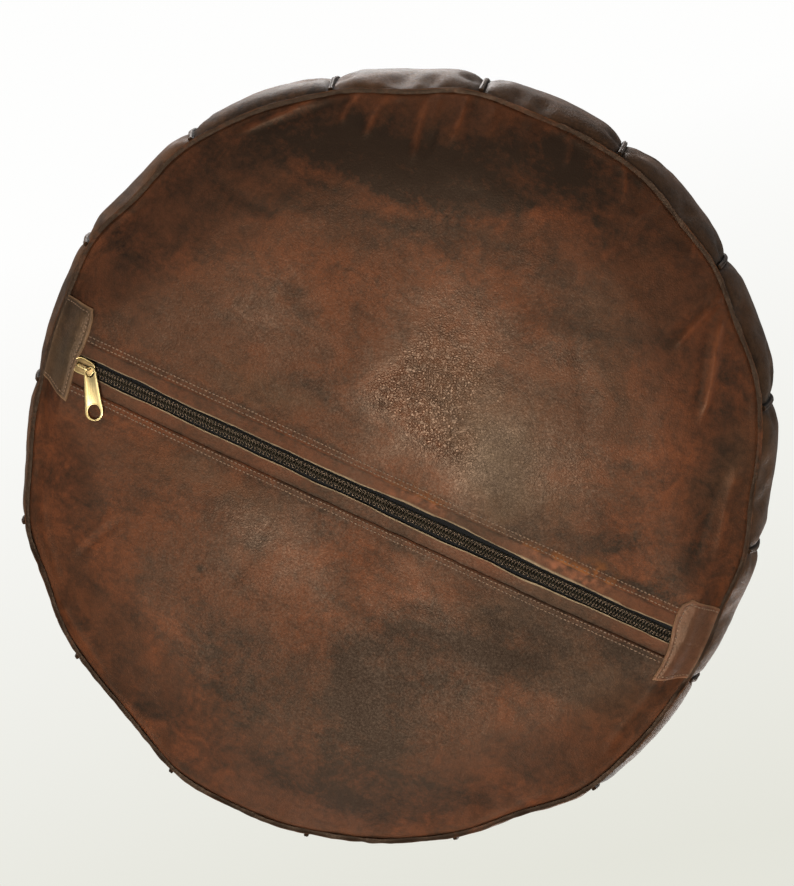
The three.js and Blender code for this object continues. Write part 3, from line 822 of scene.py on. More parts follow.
shoulder_angle = np.linspace(0, 2 * math.pi, 1080, endpoint=False)
path = cover_point(SHOULDER_TURN, shoulder_angle, -0.2 * MM)
nr, nz = outline_normal(SHOULDER_TURN)
across, up = directions(path, round_points(nr, shoulder_angle, nz), True)
swell = ripples(path, 9 * MM, 77, 2)
WELT = np.array([(-2.4, -1.2), (-1.6, 0.2), (-1.1, 1.2), (0, 1.6), (1.1, 1.2), (1.6, 0.2), (2.4, -1.2)]) * MM
verts, faces = sweep(path, across, up, scaled(WELT, 1, 1 + 0.25 * swell), closed=True)
values = hide_values(verts, 520, dark=0.25, size=0.08)
values["worn"] = np.tile(clamp01((WELT[:, 1] - MM) / (0.5 * MM)), len(path)) * 0.6
finish_piece(make_mesh("shoulder_welt", verts, faces, [rib_hide], values, sharp=60), "root")

# ---- Base panels ----

# Smears of dye on the base: x, y, half length and half width in mm, direction in degrees, strength.
DARK_SMEARS = (
    (-125, -192, 80, 24, 5, 0.8), (-40, -205, 90, 28, -12, 0.75), (30, -235, 60, 20, 0, 0.5),
    (-130, -165, 50, 14, -10, 0.4), (85, 122, 30, 16, -10, 0.5),
    (20, 165, 80, 26, 0, 0.35), (100, 80, 60, 24, -10, 0.3),
    (-60, -150, 120, 14, -14, 0.30), (-190, -150, 60, 22, -35, 0.35), (-165, -115, 60, 12, -30, 0.35),
    (-215, -70, 40, 14, -70, 0.35), (60, -150, 50, 16, 10, 0.35), (95, -100, 60, 8, 80, 0.2),
    (105, 5, 14, 26, 30, 0.75), (75, -40, 30, 24, 60, 0.25), (165, -20, 20, 9, -40, 0.7),
    (215, -40, 45, 14, 80, 0.45), (195, -120, 30, 16, 60, 0.25), (130, 75, 85, 22, -12, 0.60),
    (210, 60, 34, 16, 20, 0.5), (50, 150, 55, 26, 60, 0.70), (110, 190, 90, 16, -15, 0.50),
    (0, 215, 90, 14, 0, 0.45), (-95, 215, 80, 16, 15, 0.35), (-35, 175, 40, 14, 45, 0.35),
    (-190, 105, 50, 16, 65, 0.25), (-120, 120, 26, 8, -60, 0.30), (-55, 50, 130, 9, 2, 0.25),
    (-40, -32, 60, 14, 0, 0.30), (-110, -60, 70, 8, -6, 0.15), (150, 45, 50, 12, 0, 0.35),
    (-215, 20, 18, 50, 0, 0.25), (110, 62, 7, 5, 0, 0.6), (-62, 33, 14, 4, 0, 0.5),
    (30, 160, 90, 34, -10, 0.3), (-80, 158, 40, 24, 0, 0.3), (0, 80, 70, 26, 0, 0.25), (-10, -125, 46, 18, 0, 0.25),
    (120, -155, 44, 26, 10, 0.25), (200, 0, 24, 22, 0, 0.4), (60, 5, 34, 12, 0, 0.3), (80, 110, 50, 26, 0, 0.25),
)
RED_SMEARS = (
    (145, -75, 34, 16, -20, 1.0), (150, -110, 40, 18, 50, 0.45), (-30, -178, 60, 8, -22, 0.9),
    (-90, -168, 60, 7, -6, 0.6), (-140, -85, 60, 26, -25, 0.6), (0, -140, 70, 22, -15, 0.55),
    (-70, -100, 60, 20, -20, 0.45), (20, 70, 60, 24, 0, 0.75), (-95, 160, 40, 18, 20, 0.8),
    (-30, 110, 60, 22, 10, 0.45), (130, 115, 70, 14, -8, 0.5), (195, 0, 26, 14, 60, 0.4),
    (10, 0, 55, 14, -8, 0.4), (-170, 40, 40, 14, 0, 0.45), (60, 195, 60, 12, -10, 0.3),
    (-60, 240, 50, 10, 8, 0.35), (60, -205, 70, 12, -8, 0.35), (-150, 130, 40, 16, 50, 0.3),
)
OLIVE_SMEARS = (
    (75, -30, 42, 30, 40, 0.95), (35, -70, 50, 26, 20, 0.55), (-95, -15, 40, 14, -5, 0.5),
    (110, 58, 30, 12, -10, 0.6), (180, 80, 50, 22, 0, 0.45), (45, 145, 45, 24, 60, 0.35),
    (215, -95, 34, 18, 80, 0.5), (-110, 60, 60, 14, 0, 0.35), (100, -140, 40, 20, 60, 0.3),
)
# Creases: x and y of both ends in mm, width and depth in mm. A negative depth is a raised fold.
CREASES = (
    (156, -203, 143, -160, 2.4, -2.0), (165, -190, 176, -122, 3.0, -2.0), (150, -198, 137, -158, 3.4, 1.2),
    (158, -186, 169, -126, 3.4, 1.1), (58, -252, 65, -228, 2.2, -1.1), (66, -250, 74, -226, 2.6, 0.8),
    (-148, -213, -188, -163, 3.0, -1.3), (-140, -210, -176, -166, 3.4, 0.9), (-126, -222, -127, -198, 2.6, -1.2),
    (-118, -224, -119, -202, 2.6, 0.8), (-106, -230, -111, -198, 2.8, -1.3), (-98, -232, -102, -204, 2.8, 0.9),
    (-81, -242, -75, -198, 3.0, -1.3), (-72, -244, -66, -204, 3.0, 1.0), (-59, -250, -53, -216, 2.8, -1.2),
    (-50, -250, -45, -220, 2.8, 0.8), (92, -246, 78, -218, 2.6, -0.7), (20, -257, 20, -234, 2.6, -0.8),
    (-150, 110, -172, 148, 2.2, 0.7), (-156, 112, -178, 146, 2.5, -0.4), (-225, 120, -200, 168, 4, 0.8),
    (-212, 118, -180, 172, 3.4, -0.6), (-180, 178, -120, 222, 4, -0.7), (-110, 236, -40, 256, 4, -0.6),
    (222, -110, 232, -40, 4, -0.9), (212, -100, 221, -30, 4, 0.7), (232, 62, 214, 120, 4, -0.6),
    (196, 158, 158, 200, 4, -0.6), (60, -150, 120, -60, 6, 0.35), (-200, -130, -140, -120, 4, 0.35),
    (-124, -103, -100, -83, 1.0, -0.5), (-148, -61, -105, -35, 1.0, -0.5), (-160, -40, -60, -64, 5, 0.3),
    (40, 80, 130, 60, 5, 0.35), (-60, 60, -70, 130, 4, 0.3),
)
# Polished places, where the grain of the hide stands out most.
GRAIN_PATCHES = (
    (22, -55, 58, 44, 40, 0.95), (-6, -46, 36, 28, 0, 0.7), (0, -105, 44, 34, 0, 0.5), (-60, 78, 56, 22, 12, 0.45),
    (60, 72, 40, 14, 0, 0.3), (-120, -60, 40, 20, 0, 0.15),
    (105, -48, 34, 24, 30, 0.45), (80, -112, 26, 20, 0, 0.5),
)
# Bare patches: x, y and half sizes in mm, strength.
BARE_PATCHES = ((26, 13, 20, 7, 0.5), (133, 12, 26, 6, 0.75), (160, 8, 12, 9, 0.5))
PINHOLES = ((106, 57), (100, 62), (11, -200), (-90, 118))


def smears(x, y, table):
    """Dye at each point of the base, dragged out by the cloth that rubbed it in."""
    points = points_at(x, y)
    drag_x, drag_y = (16 * MM * ripples(points, 50 * MM, seed, 2) + 5 * MM * ripples(points, 12 * MM, seed + 1, 2)
                      for seed in (61, 63))
    total = 0 * x
    for px, py, length, width, degrees, strength in table:
        turn = math.radians(degrees)
        dx, dy = x + drag_x - px * MM, y + drag_y - py * MM
        a = (dx * math.cos(turn) + dy * math.sin(turn)) / (length * MM)
        b = (dy * math.cos(turn) - dx * math.sin(turn)) / (width * MM)
        total = np.maximum(total, 0.35 * total) + strength * np.exp(-(a * a + b * b) ** 1.3) * (1 - 0.4 * total)
    return clamp01(total)


def crease_relief(x, y):
    """Height of the creases. Each bends a little along its length and fades at both ends."""
    total = 0 * x
    for x0, y0, x1, y1, width, depth in CREASES:
        ax, ay = x0 * MM, y0 * MM
        dx, dy = x1 * MM - ax, y1 * MM - ay
        length2 = dx * dx + dy * dy
        t = ((x - ax) * dx + (y - ay) * dy) / length2
        away = ((x - ax) * dy - (y - ay) * dx) / math.sqrt(length2)
        bend = away + 1.6 * MM * np.sin(3.2 * t + x0)
        fade = smooth((t + 0.15) / 0.35) * smooth((1.15 - t) / 0.35)
        total = total + 1.3 * depth * MM * fade * np.exp(-(bend / (width * MM)) ** 2)
    return total


PLEAT_START, PLEAT_HEIGHT = 205 * MM, 4.2 * MM


def rim_pleats(x, y):
    """Folds that run in from the base seam, deepest where the panels were eased in most."""
    r, angle = np.hypot(x, y), np.arctan2(y, x)
    ring = round_points(1, angle)
    degrees = np.degrees(angle)
    bunched = 0.35 + 0.65 * np.exp(-((degrees + 95) / 48) ** 2) + 0.3 * np.exp(-((degrees + 40) / 20) ** 2)
    folds = ripples(ring, 0.11, 91, 1) + 0.5 * ripples(ring, 0.045, 92, 1)
    reach = clamp01((r - (PLEAT_START + 0.02 * ripples(ring, 0.3, 93))) / (BASE_RADIUS - PLEAT_START))
    return PLEAT_HEIGHT * folds * bunched * reach**1.6 * (1 - 0.55 * smooth((reach - 0.85) / 0.15))


def bare_patches(x, y):
    """Rough orange suede beside the zip, where the hide has lost its finish."""
    total = 0 * x
    for px, py, half_x, half_y, strength in BARE_PATCHES:
        total = total + strength * np.exp(-(((x / MM - px) / half_x) ** 2 + ((y / MM - py) / half_y) ** 2))
    return clamp01(1.3 * total * (0.65 + 2.2 * ripples(points_at(x, y), 5 * MM, 66, 3)))


def base_surface(x, y):
    """Point of the outer skin of the base at (x, y) of the round base, with all its relief."""
    flat, r = points_at(x, y), np.hypot(x, y)
    relief = 0.8 * MM + 1.1 * MM * ripples(flat, 0.10, 71, 2) + 0.5 * MM * ripples(flat, 0.03, 72, 2)
    relief = relief + 0.12 * MM * ripples(flat, 0.011, 73, 2)
    at_zip = smooth((np.abs(y - ZIP_Y) - PANEL_EDGE) / (22 * MM))
    near_edge = 1 - smooth((np.abs(y - ZIP_Y) - PANEL_EDGE) / (7 * MM))
    relief = relief * (0.25 + 0.75 * at_zip) + crease_relief(x, y) + rim_pleats(x, y)
    # The turned hem beside the zip is a little thicker than the rest, and its stitches pull it in.
    relief = relief - 0.35 * MM * near_edge
    sx, sy = spread(x, y)
    z = base_height(x, y) + relief * (1 - 0.6 * smooth((r - 249 * MM) / (6 * MM)))
    return points_at(sx, sy, np.maximum(z, 0.05 * MM))


HALF_COLUMNS, HALF_ROWS = 370, 126  # faces of one base panel, kept under 200,000 triangles for both its sides


def base_panel(name, node, side):
    edge = ZIP_Y + side * PANEL_EDGE
    half_length = math.sqrt(BASE_RADIUS**2 - (abs(edge) + 6 * MM) ** 2)
    u = np.linspace(-1, 1, HALF_COLUMNS + 1)[None, :]
    v = np.linspace(0, 1, HALF_ROWS + 1)[:, None]
    v = v - 0.3 * np.sin(2 * math.pi * v) / (2 * math.pi)
    x = half_length * (0.45 * u + 0.55 * np.sin(u * math.pi / 2)) + 0 * v
    rim = side * np.sqrt(BASE_RADIUS**2 - x * x)
    wavy = 0.35 * MM * ripples(points_at(x, 0, side), 20 * MM, 55, 2)
    y = mix(edge + wavy * (1 - v), rim, v)
    outer = base_surface(x, y)
    inner = outer + UP * LEATHER
    # The edge beside the zip is turned under: it rounds off into a fold.
    from_edge = np.abs(y - edge)
    roll = 1 - np.sqrt(clamp01(1 - clamp01(1 - from_edge / (1.3 * MM)) ** 2))
    outer[..., 2] += 1.1 * MM * roll
    values = {
        "dark": smears(x, y, DARK_SMEARS),
        "red": smears(x, y, RED_SMEARS),
        "olive": 0.9 * smears(x, y, OLIVE_SMEARS),
        "grainy": smears(x, y, GRAIN_PATCHES),
    }

    def add(key, more):
        values[key] = clamp01(values[key] + more)

    add("dark", 0.22 * ripples(points_at(x, y), 30 * MM, 81, 3) - 0.05)
    for px, py in PINHOLES:
        add("dark", 1.2 * np.exp(-(np.hypot(x - px * MM, y - py * MM) / (2.2 * MM)) ** 2))
    # Painted shadow: a dark line just outside the stitch rows, and painted shade along the turned edge of the hem.
    add("dark", 0.25 * np.exp(-((from_edge - 6.5 * MM) / (1.8 * MM)) ** 2) + 0.15 * np.exp(-from_edge / (0.8 * MM)))
    # Painted shade darkens the hollows of the folds, and a painted highlight makes their crests paler; the rim is
    # rubbed paler.
    crease = crease_relief(x, y) / MM
    fold = rim_pleats(x, y) / MM + crease
    from_rim = BASE_RADIUS - np.hypot(x, y)
    values["worn"] = clamp01(0.15 * np.exp(-from_rim / (2.5 * MM)) + 0.15 * clamp01(-crease - 0.4))
    add("dark", 0.45 * clamp01(0.5 * fold))
    add("worn", 0.14 * clamp01(-0.5 * fold - 0.15))
    add("grainy", 0.6 * clamp01(-0.6 * fold))
    values["raw"] = bare_patches(x, y) if side < 0 else 0 * x
    piece = sheet(name, outer, inner, [base_hide], values)
    finish_piece(piece, "root", [node])


base_panel("base_skin_front", "base_panel_front", -1)
base_panel("base_skin_rear", "base_panel_rear", 1)

# ---- Base seam: the two raw edges of the seam stand out as a thin ridge ----

SEAM_STATIONS = 1100
seam_angle = np.linspace(0, 2 * math.pi, SEAM_STATIONS, endpoint=False)
ring = round_points(BASE_RADIUS, seam_angle)
radius = SEAM_RADIUS - 0.9 * MM + wander(seam_angle, SEAM_HEIGHT)
path = round_points(radius, seam_angle, SEAM_HEIGHT - 0.6 * MM + 0.5 * MM * ripples(ring, 30 * MM, 96, 2))
lean = np.radians(-38 + 20 * ripples(ring, 16 * MM, 95, 2))
across, up = directions(path, round_points(np.cos(lean), seam_angle, np.sin(lean)), True)
SEAM_SECTION = np.array([(-2.2, -1.6), (-1.3, 0.1), (-1.0, 1.0), (-0.95, 2.2), (-0.75, 2.6), (-0.2, 2.65), (0, 2.2),
                         (0.2, 2.65), (0.75, 2.6), (0.95, 2.2), (1.0, 1.0), (1.3, 0.1), (2.2, -1.6)]) * MM
section = scaled(SEAM_SECTION, 0.6, 0.66 + 0.2 * ripples(ring, 9 * MM, 97, 2))
verts, faces = sweep(path, across, up, section, closed=True)
values = hide_values(verts, 540, dark=1.0, red=0.1, size=0.06)
ragged = clamp01(0.5 + 0.9 * np.repeat(ripples(ring, 20 * MM, 98, 3), len(SEAM_SECTION)))
height = np.tile(SEAM_SECTION[:, 1], SEAM_STATIONS)
values["raw"] = 0.3 * ragged * clamp01((height - 2.3 * MM) / (0.3 * MM))
values["worn"] = 0.05 * ragged * clamp01((height - 1.2 * MM) / MM)
finish_piece(make_mesh("base_seam_welt", verts, faces, [base_hide], values, sharp=50), "root")

# ---- Facings beside the zip, with torn raw edges ----

FACING_OUTER, FACING_REACH, FACING_HEIGHT = 22 * MM, 250.8 * MM, 9.8 * MM
# Places where the front facing's edge is torn and shows its pale core: x and half length in mm, how far it tears back.
TEARS = ((122, 8, 2.2), (108, 6, 1.2), (140, 12, 0.9), (24, 20, 0.7), (-30, 18, 0.4), (176, 7, 0.8), (60, 12, 0.4))


def facing(name, node, side):
    front = side < 0
    u = np.linspace(-1, 1, 520)[None, :]
    v = np.linspace(0, 1, 17)[:, None]
    x = FACING_REACH * (0.6 * u + 0.4 * np.sin(u * math.pi / 2)) + 0 * v
    line = points_at(x[0], 0, side)
    torn = sum(depth * np.exp(-((x[0] / MM - place) / half) ** 2) for place, half, depth in TEARS)
    torn = torn * (1 if front else 0.3)
    gape = (2.3 if front else 0.5) * np.exp(-((x[0] / MM - 55) / 62) ** 2)
    wave = 0.25 * ripples(line, 13 * MM, 33, 3) + 1.3 * np.maximum(ripples(line, 30 * MM, 37), -0.25)
    inner_edge = ((5.45 + wave + gape) * MM)[None]
    from_zip = mix(inner_edge, FACING_OUTER, v**1.7)
    y = ZIP_Y + side * from_zip
    r = np.hypot(x, y)
    end_share = smooth((r - END_RAMP_RADIUS) / (BASE_RADIUS - END_RAMP_RADIUS))
    tuck = 2.4 * MM * clamp01((r - END_RAMP_RADIUS + 3 * MM) / (4 * MM))
    z = FACING_HEIGHT + tuck + (SEAM_HEIGHT - DISH_DEPTH) * end_share
    at_edge = np.exp(-(from_zip - inner_edge) / (1.4 * MM))
    z = z - at_edge * (0.25 + 0.45 * ripples(line, 8 * MM, 34, 2)[None]) * MM
    z = z + 0.2 * MM * ripples(points_at(x, y), 12 * MM, 35, 2)
    outer = points_at(*spread(x, y), z)
    values = hide_values(outer, 560 + side, dark=0.0, red=0.45, size=0.06)
    cut = (0.5 + 0.9 * clamp01(torn) + 0.25 * ripples(line, 9 * MM, 38, 2))[None] * MM
    values["raw"] = 0.95 * (1 - smooth((from_zip - inner_edge) / cut - 0.4))
    # Painted shade darkens the facing's outer part, where it runs in under the hem of the base panel.
    values["dark"] = clamp01(values["dark"] + 0.5 * smooth((from_zip - 12.8 * MM) / (2.0 * MM)))
    values["worn"] = bare_patches(x, y) if front else 0 * x
    piece = sheet(name, outer, outer + UP * 1.2 * MM, [facing_hide], values)
    finish_piece(piece, "root", [node])


facing("facing_strip_front", "zip_facing_front", -1)
facing("facing_strip_rear", "zip_facing_rear", 1)

# ---- Zip: two nylon coils that mesh in the middle, each sewn to its woven tape ----

# The slider's travel of 410 mm is a whole number of turns, so it meets the coils alike at both ends.
COIL_PITCH = 410 / 190 * MM
COIL_MIDDLE, COIL_REACH = 1.85 * MM, 1.9 * MM
COIL_HEIGHT, COIL_RISE = 10.6 * MM, 1.0 * MM
COIL_FRONT = COIL_HEIGHT - COIL_RISE
WIRE = 0.46 * MM
TURN_STEPS = 14
TAPE_HEIGHT, TAPE = 11.75 * MM, 0.6 * MM


def zip_half(side, name):
    turns = int((ZIP_END - ZIP_START - 2 * MM) / COIL_PITCH)
    phase = np.arange(turns * TURN_STEPS) / TURN_STEPS
    theta = 2 * math.pi * phase
    # Each turn runs straight across at the front, and steps on to the next behind, against the tape.
    turn = phase % 1
    step = np.where(turn < 0.5, 0.16 * turn, 0.08 + 1.84 * (turn - 0.5))
    x = ZIP_START + MM + COIL_PITCH * (phase - turn + step + (0.5 if side > 0 else 0))
    squared = np.sign(np.sin(theta)) * np.abs(np.sin(theta)) ** 0.75
    path = points_at(x, ZIP_Y + side * (COIL_MIDDLE + COIL_REACH * np.cos(theta)), COIL_HEIGHT - COIL_RISE * squared)
    turned_out = directions(path, points_at(0, side * np.cos(theta), -np.sin(theta)))
    coil = make_mesh(f"zip_coil_{name}", *sweep(path, *turned_out, oval(WIRE, WIRE, 6)), [nylon_black], sharp=80)
    finish_piece(coil, "root", [f"zip_half_{name}"])
    u = np.linspace(ZIP_START, ZIP_END, 300)[None, :]
    v = np.linspace(1 * MM, PANEL_EDGE, 12)[:, None]
    ripple = 0.12 * MM * ripples(points_at(u, v, side), 20 * MM, 21, 2)
    grid = points_at(u, ZIP_Y + side * v, TAPE_HEIGHT + ripple)
    tape = sheet(f"zip_tape_{name}", grid, grid + UP * TAPE, [tape_black])
    finish_piece(tape, "root", [f"zip_half_{name}"])
    line = points_at(u[0], ZIP_Y + side * 3.1 * MM, COIL_FRONT - WIRE + 0.1 * MM)
    row = stitches(line, -UP, 3.2 * MM, 2.6 * MM, 0.2 * MM, 31)
    finish_piece(make_mesh(f"zip_coil_thread_{name}", *row, [nylon_black], closed=False), "root")


zip_half(-1, "front")
zip_half(1, "rear")

# ---- Stitches beside the zip: two rows through the hem of each base panel ----

TAN_STITCH = (2.9 * MM, 2.15 * MM, 0.4 * MM)  # pitch, length and radius
STITCH_REACH = 238 * MM
STITCH_ROWS = {"front": (-1, (16.9, 20.3)), "rear": (1, (16.5, 19.7))}
for name, (side, rows) in STITCH_ROWS.items():
    made = []
    for number, distance in enumerate(rows):
        x = np.linspace(-STITCH_REACH, STITCH_REACH, 480)
        sway = 0.35 * ripples(points_at(x, 0, side + number), 50 * MM, 12, 2)
        path = base_surface(x, ZIP_Y + side * (distance + sway) * MM)
        made.append(stitches(path, -UP, *TAN_STITCH, 10 + number + side))
    finish_piece(make_mesh(f"hem_stitching_{name}", *joined(made), [tan_thread], closed=False), "root")

# ---- Tabs over the ends of the zip ----


def end_tab(name, node, material, inner_x, low_y, high_y, bow, corner, flare, taper, seed):
    """A small leather tab sewn over one end of the zip, from its curved inner edge to the base seam."""
    end = math.copysign(1, inner_x)
    v = np.linspace(0, 1, 60)[:, None]
    u = np.linspace(0, 1, 34)[None, :]
    high = high_y - taper * u
    y = mix(low_y, high, v)
    inner_line = inner_x - end * bow * np.sin(2 * math.pi * v * 0.9) + end * corner * (1 - smooth(v / 0.12))
    inner_line = inner_line + flare * smooth((v - 0.45) / 0.55)
    inner_line = inner_line + 0.25 * MM * ripples(points_at(0, v * 0.07, seed), 10 * MM, seed, 2)
    rim = end * np.sqrt((BASE_RADIUS + 0.3 * MM) ** 2 - y * y)
    x = mix(inner_line, rim, u)
    away = np.abs(y - ZIP_Y)
    held = ZIP_Y + np.sign(y - ZIP_Y) * np.maximum(PANEL_EDGE, away)
    z = np.minimum(base_height(x, y), base_height(x, held))
    # It dips a little over the zip.
    z = z - 0.3 * MM + 0.5 * MM * np.exp(-(away / (9 * MM)) ** 2)
    z = z + 0.22 * MM * ripples(points_at(x, y), 14 * MM, seed, 2)
    outer = points_at(*spread(x, y), z - LEATHER)
    values = hide_values(outer, seed, dark=0.05, red=0.2, size=0.05)
    edge_u, edge_low, edge_high = np.abs(x - inner_line), np.abs(y - low_y), np.abs(high - y)
    rimmed = np.minimum(np.minimum(edge_u, edge_low), edge_high)
    outer[..., 2] += 0.7 * MM * (1 - smooth(rimmed / (1.2 * MM)))
    outer[..., 2] += 0.35 * MM * np.exp(-((rimmed - 3.2 * MM) / (0.8 * MM)) ** 2)
    values["raw"] = 0.75 * (1 - smooth(rimmed / (1.0 * MM)))
    values["worn"] = 0.6 * (1 - smooth(rimmed / (2.4 * MM)))
    piece = sheet(name, outer, outer + UP * LEATHER, [material], values)
    finish_piece(piece, "root", [node])
    inset = 3.2 * MM  # of the stitches from the tab's edges
    inside_u = np.argmin(np.abs(edge_u[30] - inset))
    rows_v = np.where((edge_low[:, 0] > inset) & (edge_high[:, 0] > inset))[0]
    down_side = [outer[j, inside_u] for j in rows_v]
    low_side = [outer[rows_v[0], i] for i in range(outer.shape[1] - 1, inside_u, -1)]
    high_side = [outer[rows_v[-1], i] for i in range(inside_u + 1, outer.shape[1])]
    return stitches(np.array(low_side + down_side + high_side), -UP, *TAN_STITCH, seed)


tab_thread = [
    end_tab("tab_over_slider", "end_tab_slider", slider_tab_hide,
            -230.5 * MM, -14 * MM, 53 * MM, 1.6 * MM, 2 * MM, 5.5 * MM, 7 * MM, 601),
    end_tab("tab_over_far_end", "end_tab_far", far_tab_hide,
            228 * MM, -5 * MM, 58 * MM, 2.4 * MM, 4 * MM, -4 * MM, 8 * MM, 602),
]
finish_piece(make_mesh("tab_stitching", *joined(tab_thread), [tan_thread], closed=False), "root")

# ---- Medallion on top, with a stitched border and a plain eight-pointed star ----

RINGS, SPOKES = 34, 160
MEDALLION_EDGE, BORDER_RADIUS, STAR_RADIUS, HEART_RADIUS = 58.8 * MM, 53 * MM, 30 * MM, 15 * MM
medallion_top = float(outline(MEDALLION_TURN)[1]) + 2.4 * MM


def star(radius, depth, angle):
    """Radius of an eight-pointed star at each angle."""
    return radius * (1 + depth * np.cos(8 * angle))


def on_medallion(radius, angle, relief):
    """Points of the medallion, which falls away towards its turned edge."""
    flat = round_points(radius, angle)
    share = radius / MEDALLION_EDGE
    drop = 2.6 * MM * smooth((share - 0.93) / 0.07) + 1.2 * MM * share**2
    flat[..., 2] = medallion_top + 1.5 * MM - drop + relief + 0.35 * MM * ripples(flat, 20 * MM, 15, 2)
    return flat


radius = MEDALLION_EDGE * np.linspace(0, 1, RINGS)[:, None]
angle = np.linspace(0, 2 * math.pi, SPOKES, endpoint=False)[None, :]
star_line = np.abs(radius - star(STAR_RADIUS, 0.32, angle))
border_line = radius - BORDER_RADIUS
groove = 0.5 * MM * np.exp(-(star_line / (2 * MM)) ** 2) + 0.4 * MM * np.exp(-(border_line / (1.6 * MM)) ** 2)
verts = on_medallion(radius, angle, -groove).reshape(-1, 3)
index = np.arange(RINGS * SPOKES).reshape(RINGS, SPOKES)
underside = medallion_top - 4 * MM
hub = len(verts) + SPOKES
verts = np.concatenate([verts, verts[index[-1]] * (1 - UP) + UP * underside, [UP * underside]])
under = len(index.ravel()) + np.arange(SPOKES)
loops = [index[0] * 0, *index[1:], under, 0 * under + hub]
faces = []
for a, b in zip(loops, loops[1:]):
    quads = np.stack([a, np.roll(a, -1), np.roll(b, -1), b], 1).tolist()
    faces += [list(dict.fromkeys(quad)) for quad in quads]
values = hide_values(verts, 620, dark=0.05, red=0.4, size=0.05)
values["worn"] = 0.5 * clamp01((np.hypot(verts[:, 0], verts[:, 1]) - 56 * MM) / (2 * MM))
medallion = make_mesh("medallion_disc", verts, faces, [top_hide], values)
work = bmesh.new()
work.from_mesh(medallion.data)
bmesh.ops.delete(work, geom=[v for v in work.verts if not v.link_faces], context="VERTS")
work.to_mesh(medallion.data)
work.free()
finish_piece(medallion, "root", ["top_medallion"])

loop = np.linspace(0, 2 * math.pi, 720, endpoint=False)
medallion_thread = [
    stitches(on_medallion(line, loop, -0.35 * MM), UP, pitch * MM, length * MM, thickness * MM, seed, True)
    for line, pitch, length, thickness, seed in (
        (BORDER_RADIUS + 0 * loop, 4, 2.9, 0.4, 701),
        (star(STAR_RADIUS, 0.32, loop), 3.4, 2.6, 0.42, 702),
        (star(HEART_RADIUS, 0.2, loop), 3.2, 2.4, 0.4, 703))
]
finish_piece(make_mesh("medallion_stitching", *joined(medallion_thread), [tan_thread], closed=False), "root")

# ---- Stuffing: lumpy wadding that fills the cover, hollow over the zip ----

STUFF_COLUMNS = 144
HUB_RADIUS = 3 * MM
angle = np.linspace(0, 2 * math.pi, STUFF_COLUMNS, endpoint=False)[None, :]
radii = np.linspace(HUB_RADIUS, 246 * MM, 40)[:, None]
x, y = radii * np.cos(angle), radii * np.sin(angle)
near_zip = 1 - smooth((np.abs(y - ZIP_Y) - 26 * MM) / (30 * MM))
hollow = 17.5 * MM + 16 * MM * smooth((radii - 215 * MM) / (20 * MM))
floor_z = base_height(x, y) + 6.5 * MM
bottom_z = mix(floor_z, np.maximum(floor_z, hollow), near_zip) + 1.5 * MM * ripples(points_at(x, y), 30 * MM, 17, 3)
bottom = points_at(*spread(x, y), bottom_z)
wall_turns = turns_between(SEAM_TURN + 0.09, MEDALLION_TURN, 66)[:, None]
lumps = ripples(cover_point(wall_turns, angle), 35 * MM, 18, 3)
wall = cover_point(wall_turns, angle, -7 * MM + 2.2 * MM * lumps)
cap = round_points(np.linspace(52 * MM, HUB_RADIUS, 10)[:, None], angle, CROWN_HEIGHT - 9 * MM)
rows = np.concatenate([bottom, wall, cap])
index = np.arange(rows[..., 0].size).reshape(rows.shape[:2])
faces = ring_quads(index).tolist() + [index[0].tolist()[::-1], index[-1].tolist()]
finish_piece(make_mesh("wadding_fill", rows.reshape(-1, 3), faces, [wool], sharp=180), "root",
             ["stuffing"])

# ---- Slider and pull ----


def mesh_parts(work):
    """Plain verts and faces of a bmesh, which is then freed."""
    work.verts.index_update()
    result = np.array([v.co[:] for v in work.verts]), [[v.index for v in f.verts] for f in work.faces]
    work.free()
    return result


def beveled(verts, faces, width):
    """A closed mesh with its sharp edges rounded off."""
    work = bmesh.new()
    made = [work.verts.new(v) for v in verts]
    for face in faces:
        work.faces.new([made[i] for i in face])
    bmesh.ops.recalc_face_normals(work, faces=work.faces)
    sharp = [e for e in work.edges if e.calc_face_angle(0) > math.radians(28)]
    bmesh.ops.bevel(work, geom=sharp, offset=width, segments=3, profile=0.6, affect="EDGES")
    return mesh_parts(work)


def prism(ring, bottom, top):
    count = len(ring)
    verts = [(x, y, z) for z in (bottom, top) for x, y in ring]
    faces = [list(range(count))[::-1], list(range(count, 2 * count))]
    faces += [[i, (i + 1) % count, (i + 1) % count + count, i + count] for i in range(count)]
    return verts, faces


def rounded_path(corners, radius, steps=7):
    """A path through corners with each inner corner rounded off."""
    points = [corners[0]]
    for before, corner, behind in zip(corners, corners[1:], corners[2:]):
        a, b = corner + unit(before - corner) * radius, corner + unit(behind - corner) * radius
        points += [(1 - t) ** 2 * a + 2 * t * (1 - t) * corner + t * t * b for t in np.linspace(0, 1, steps)]
    return np.array([*points, corners[-1]])


def slider_outline(half_length, half_width, waist):
    """Shield shape, wide where the open coils enter and narrower where they leave meshed."""
    t = np.linspace(0, 2 * math.pi, 40, endpoint=False)
    x = half_length * np.sign(np.cos(t)) * np.abs(np.cos(t)) ** 0.62
    y = half_width * np.sign(np.sin(t)) * np.abs(np.sin(t)) ** 0.62
    return np.stack([x, y * (1 - waist * smooth(0.5 + x / (2 * half_length)))], 1)


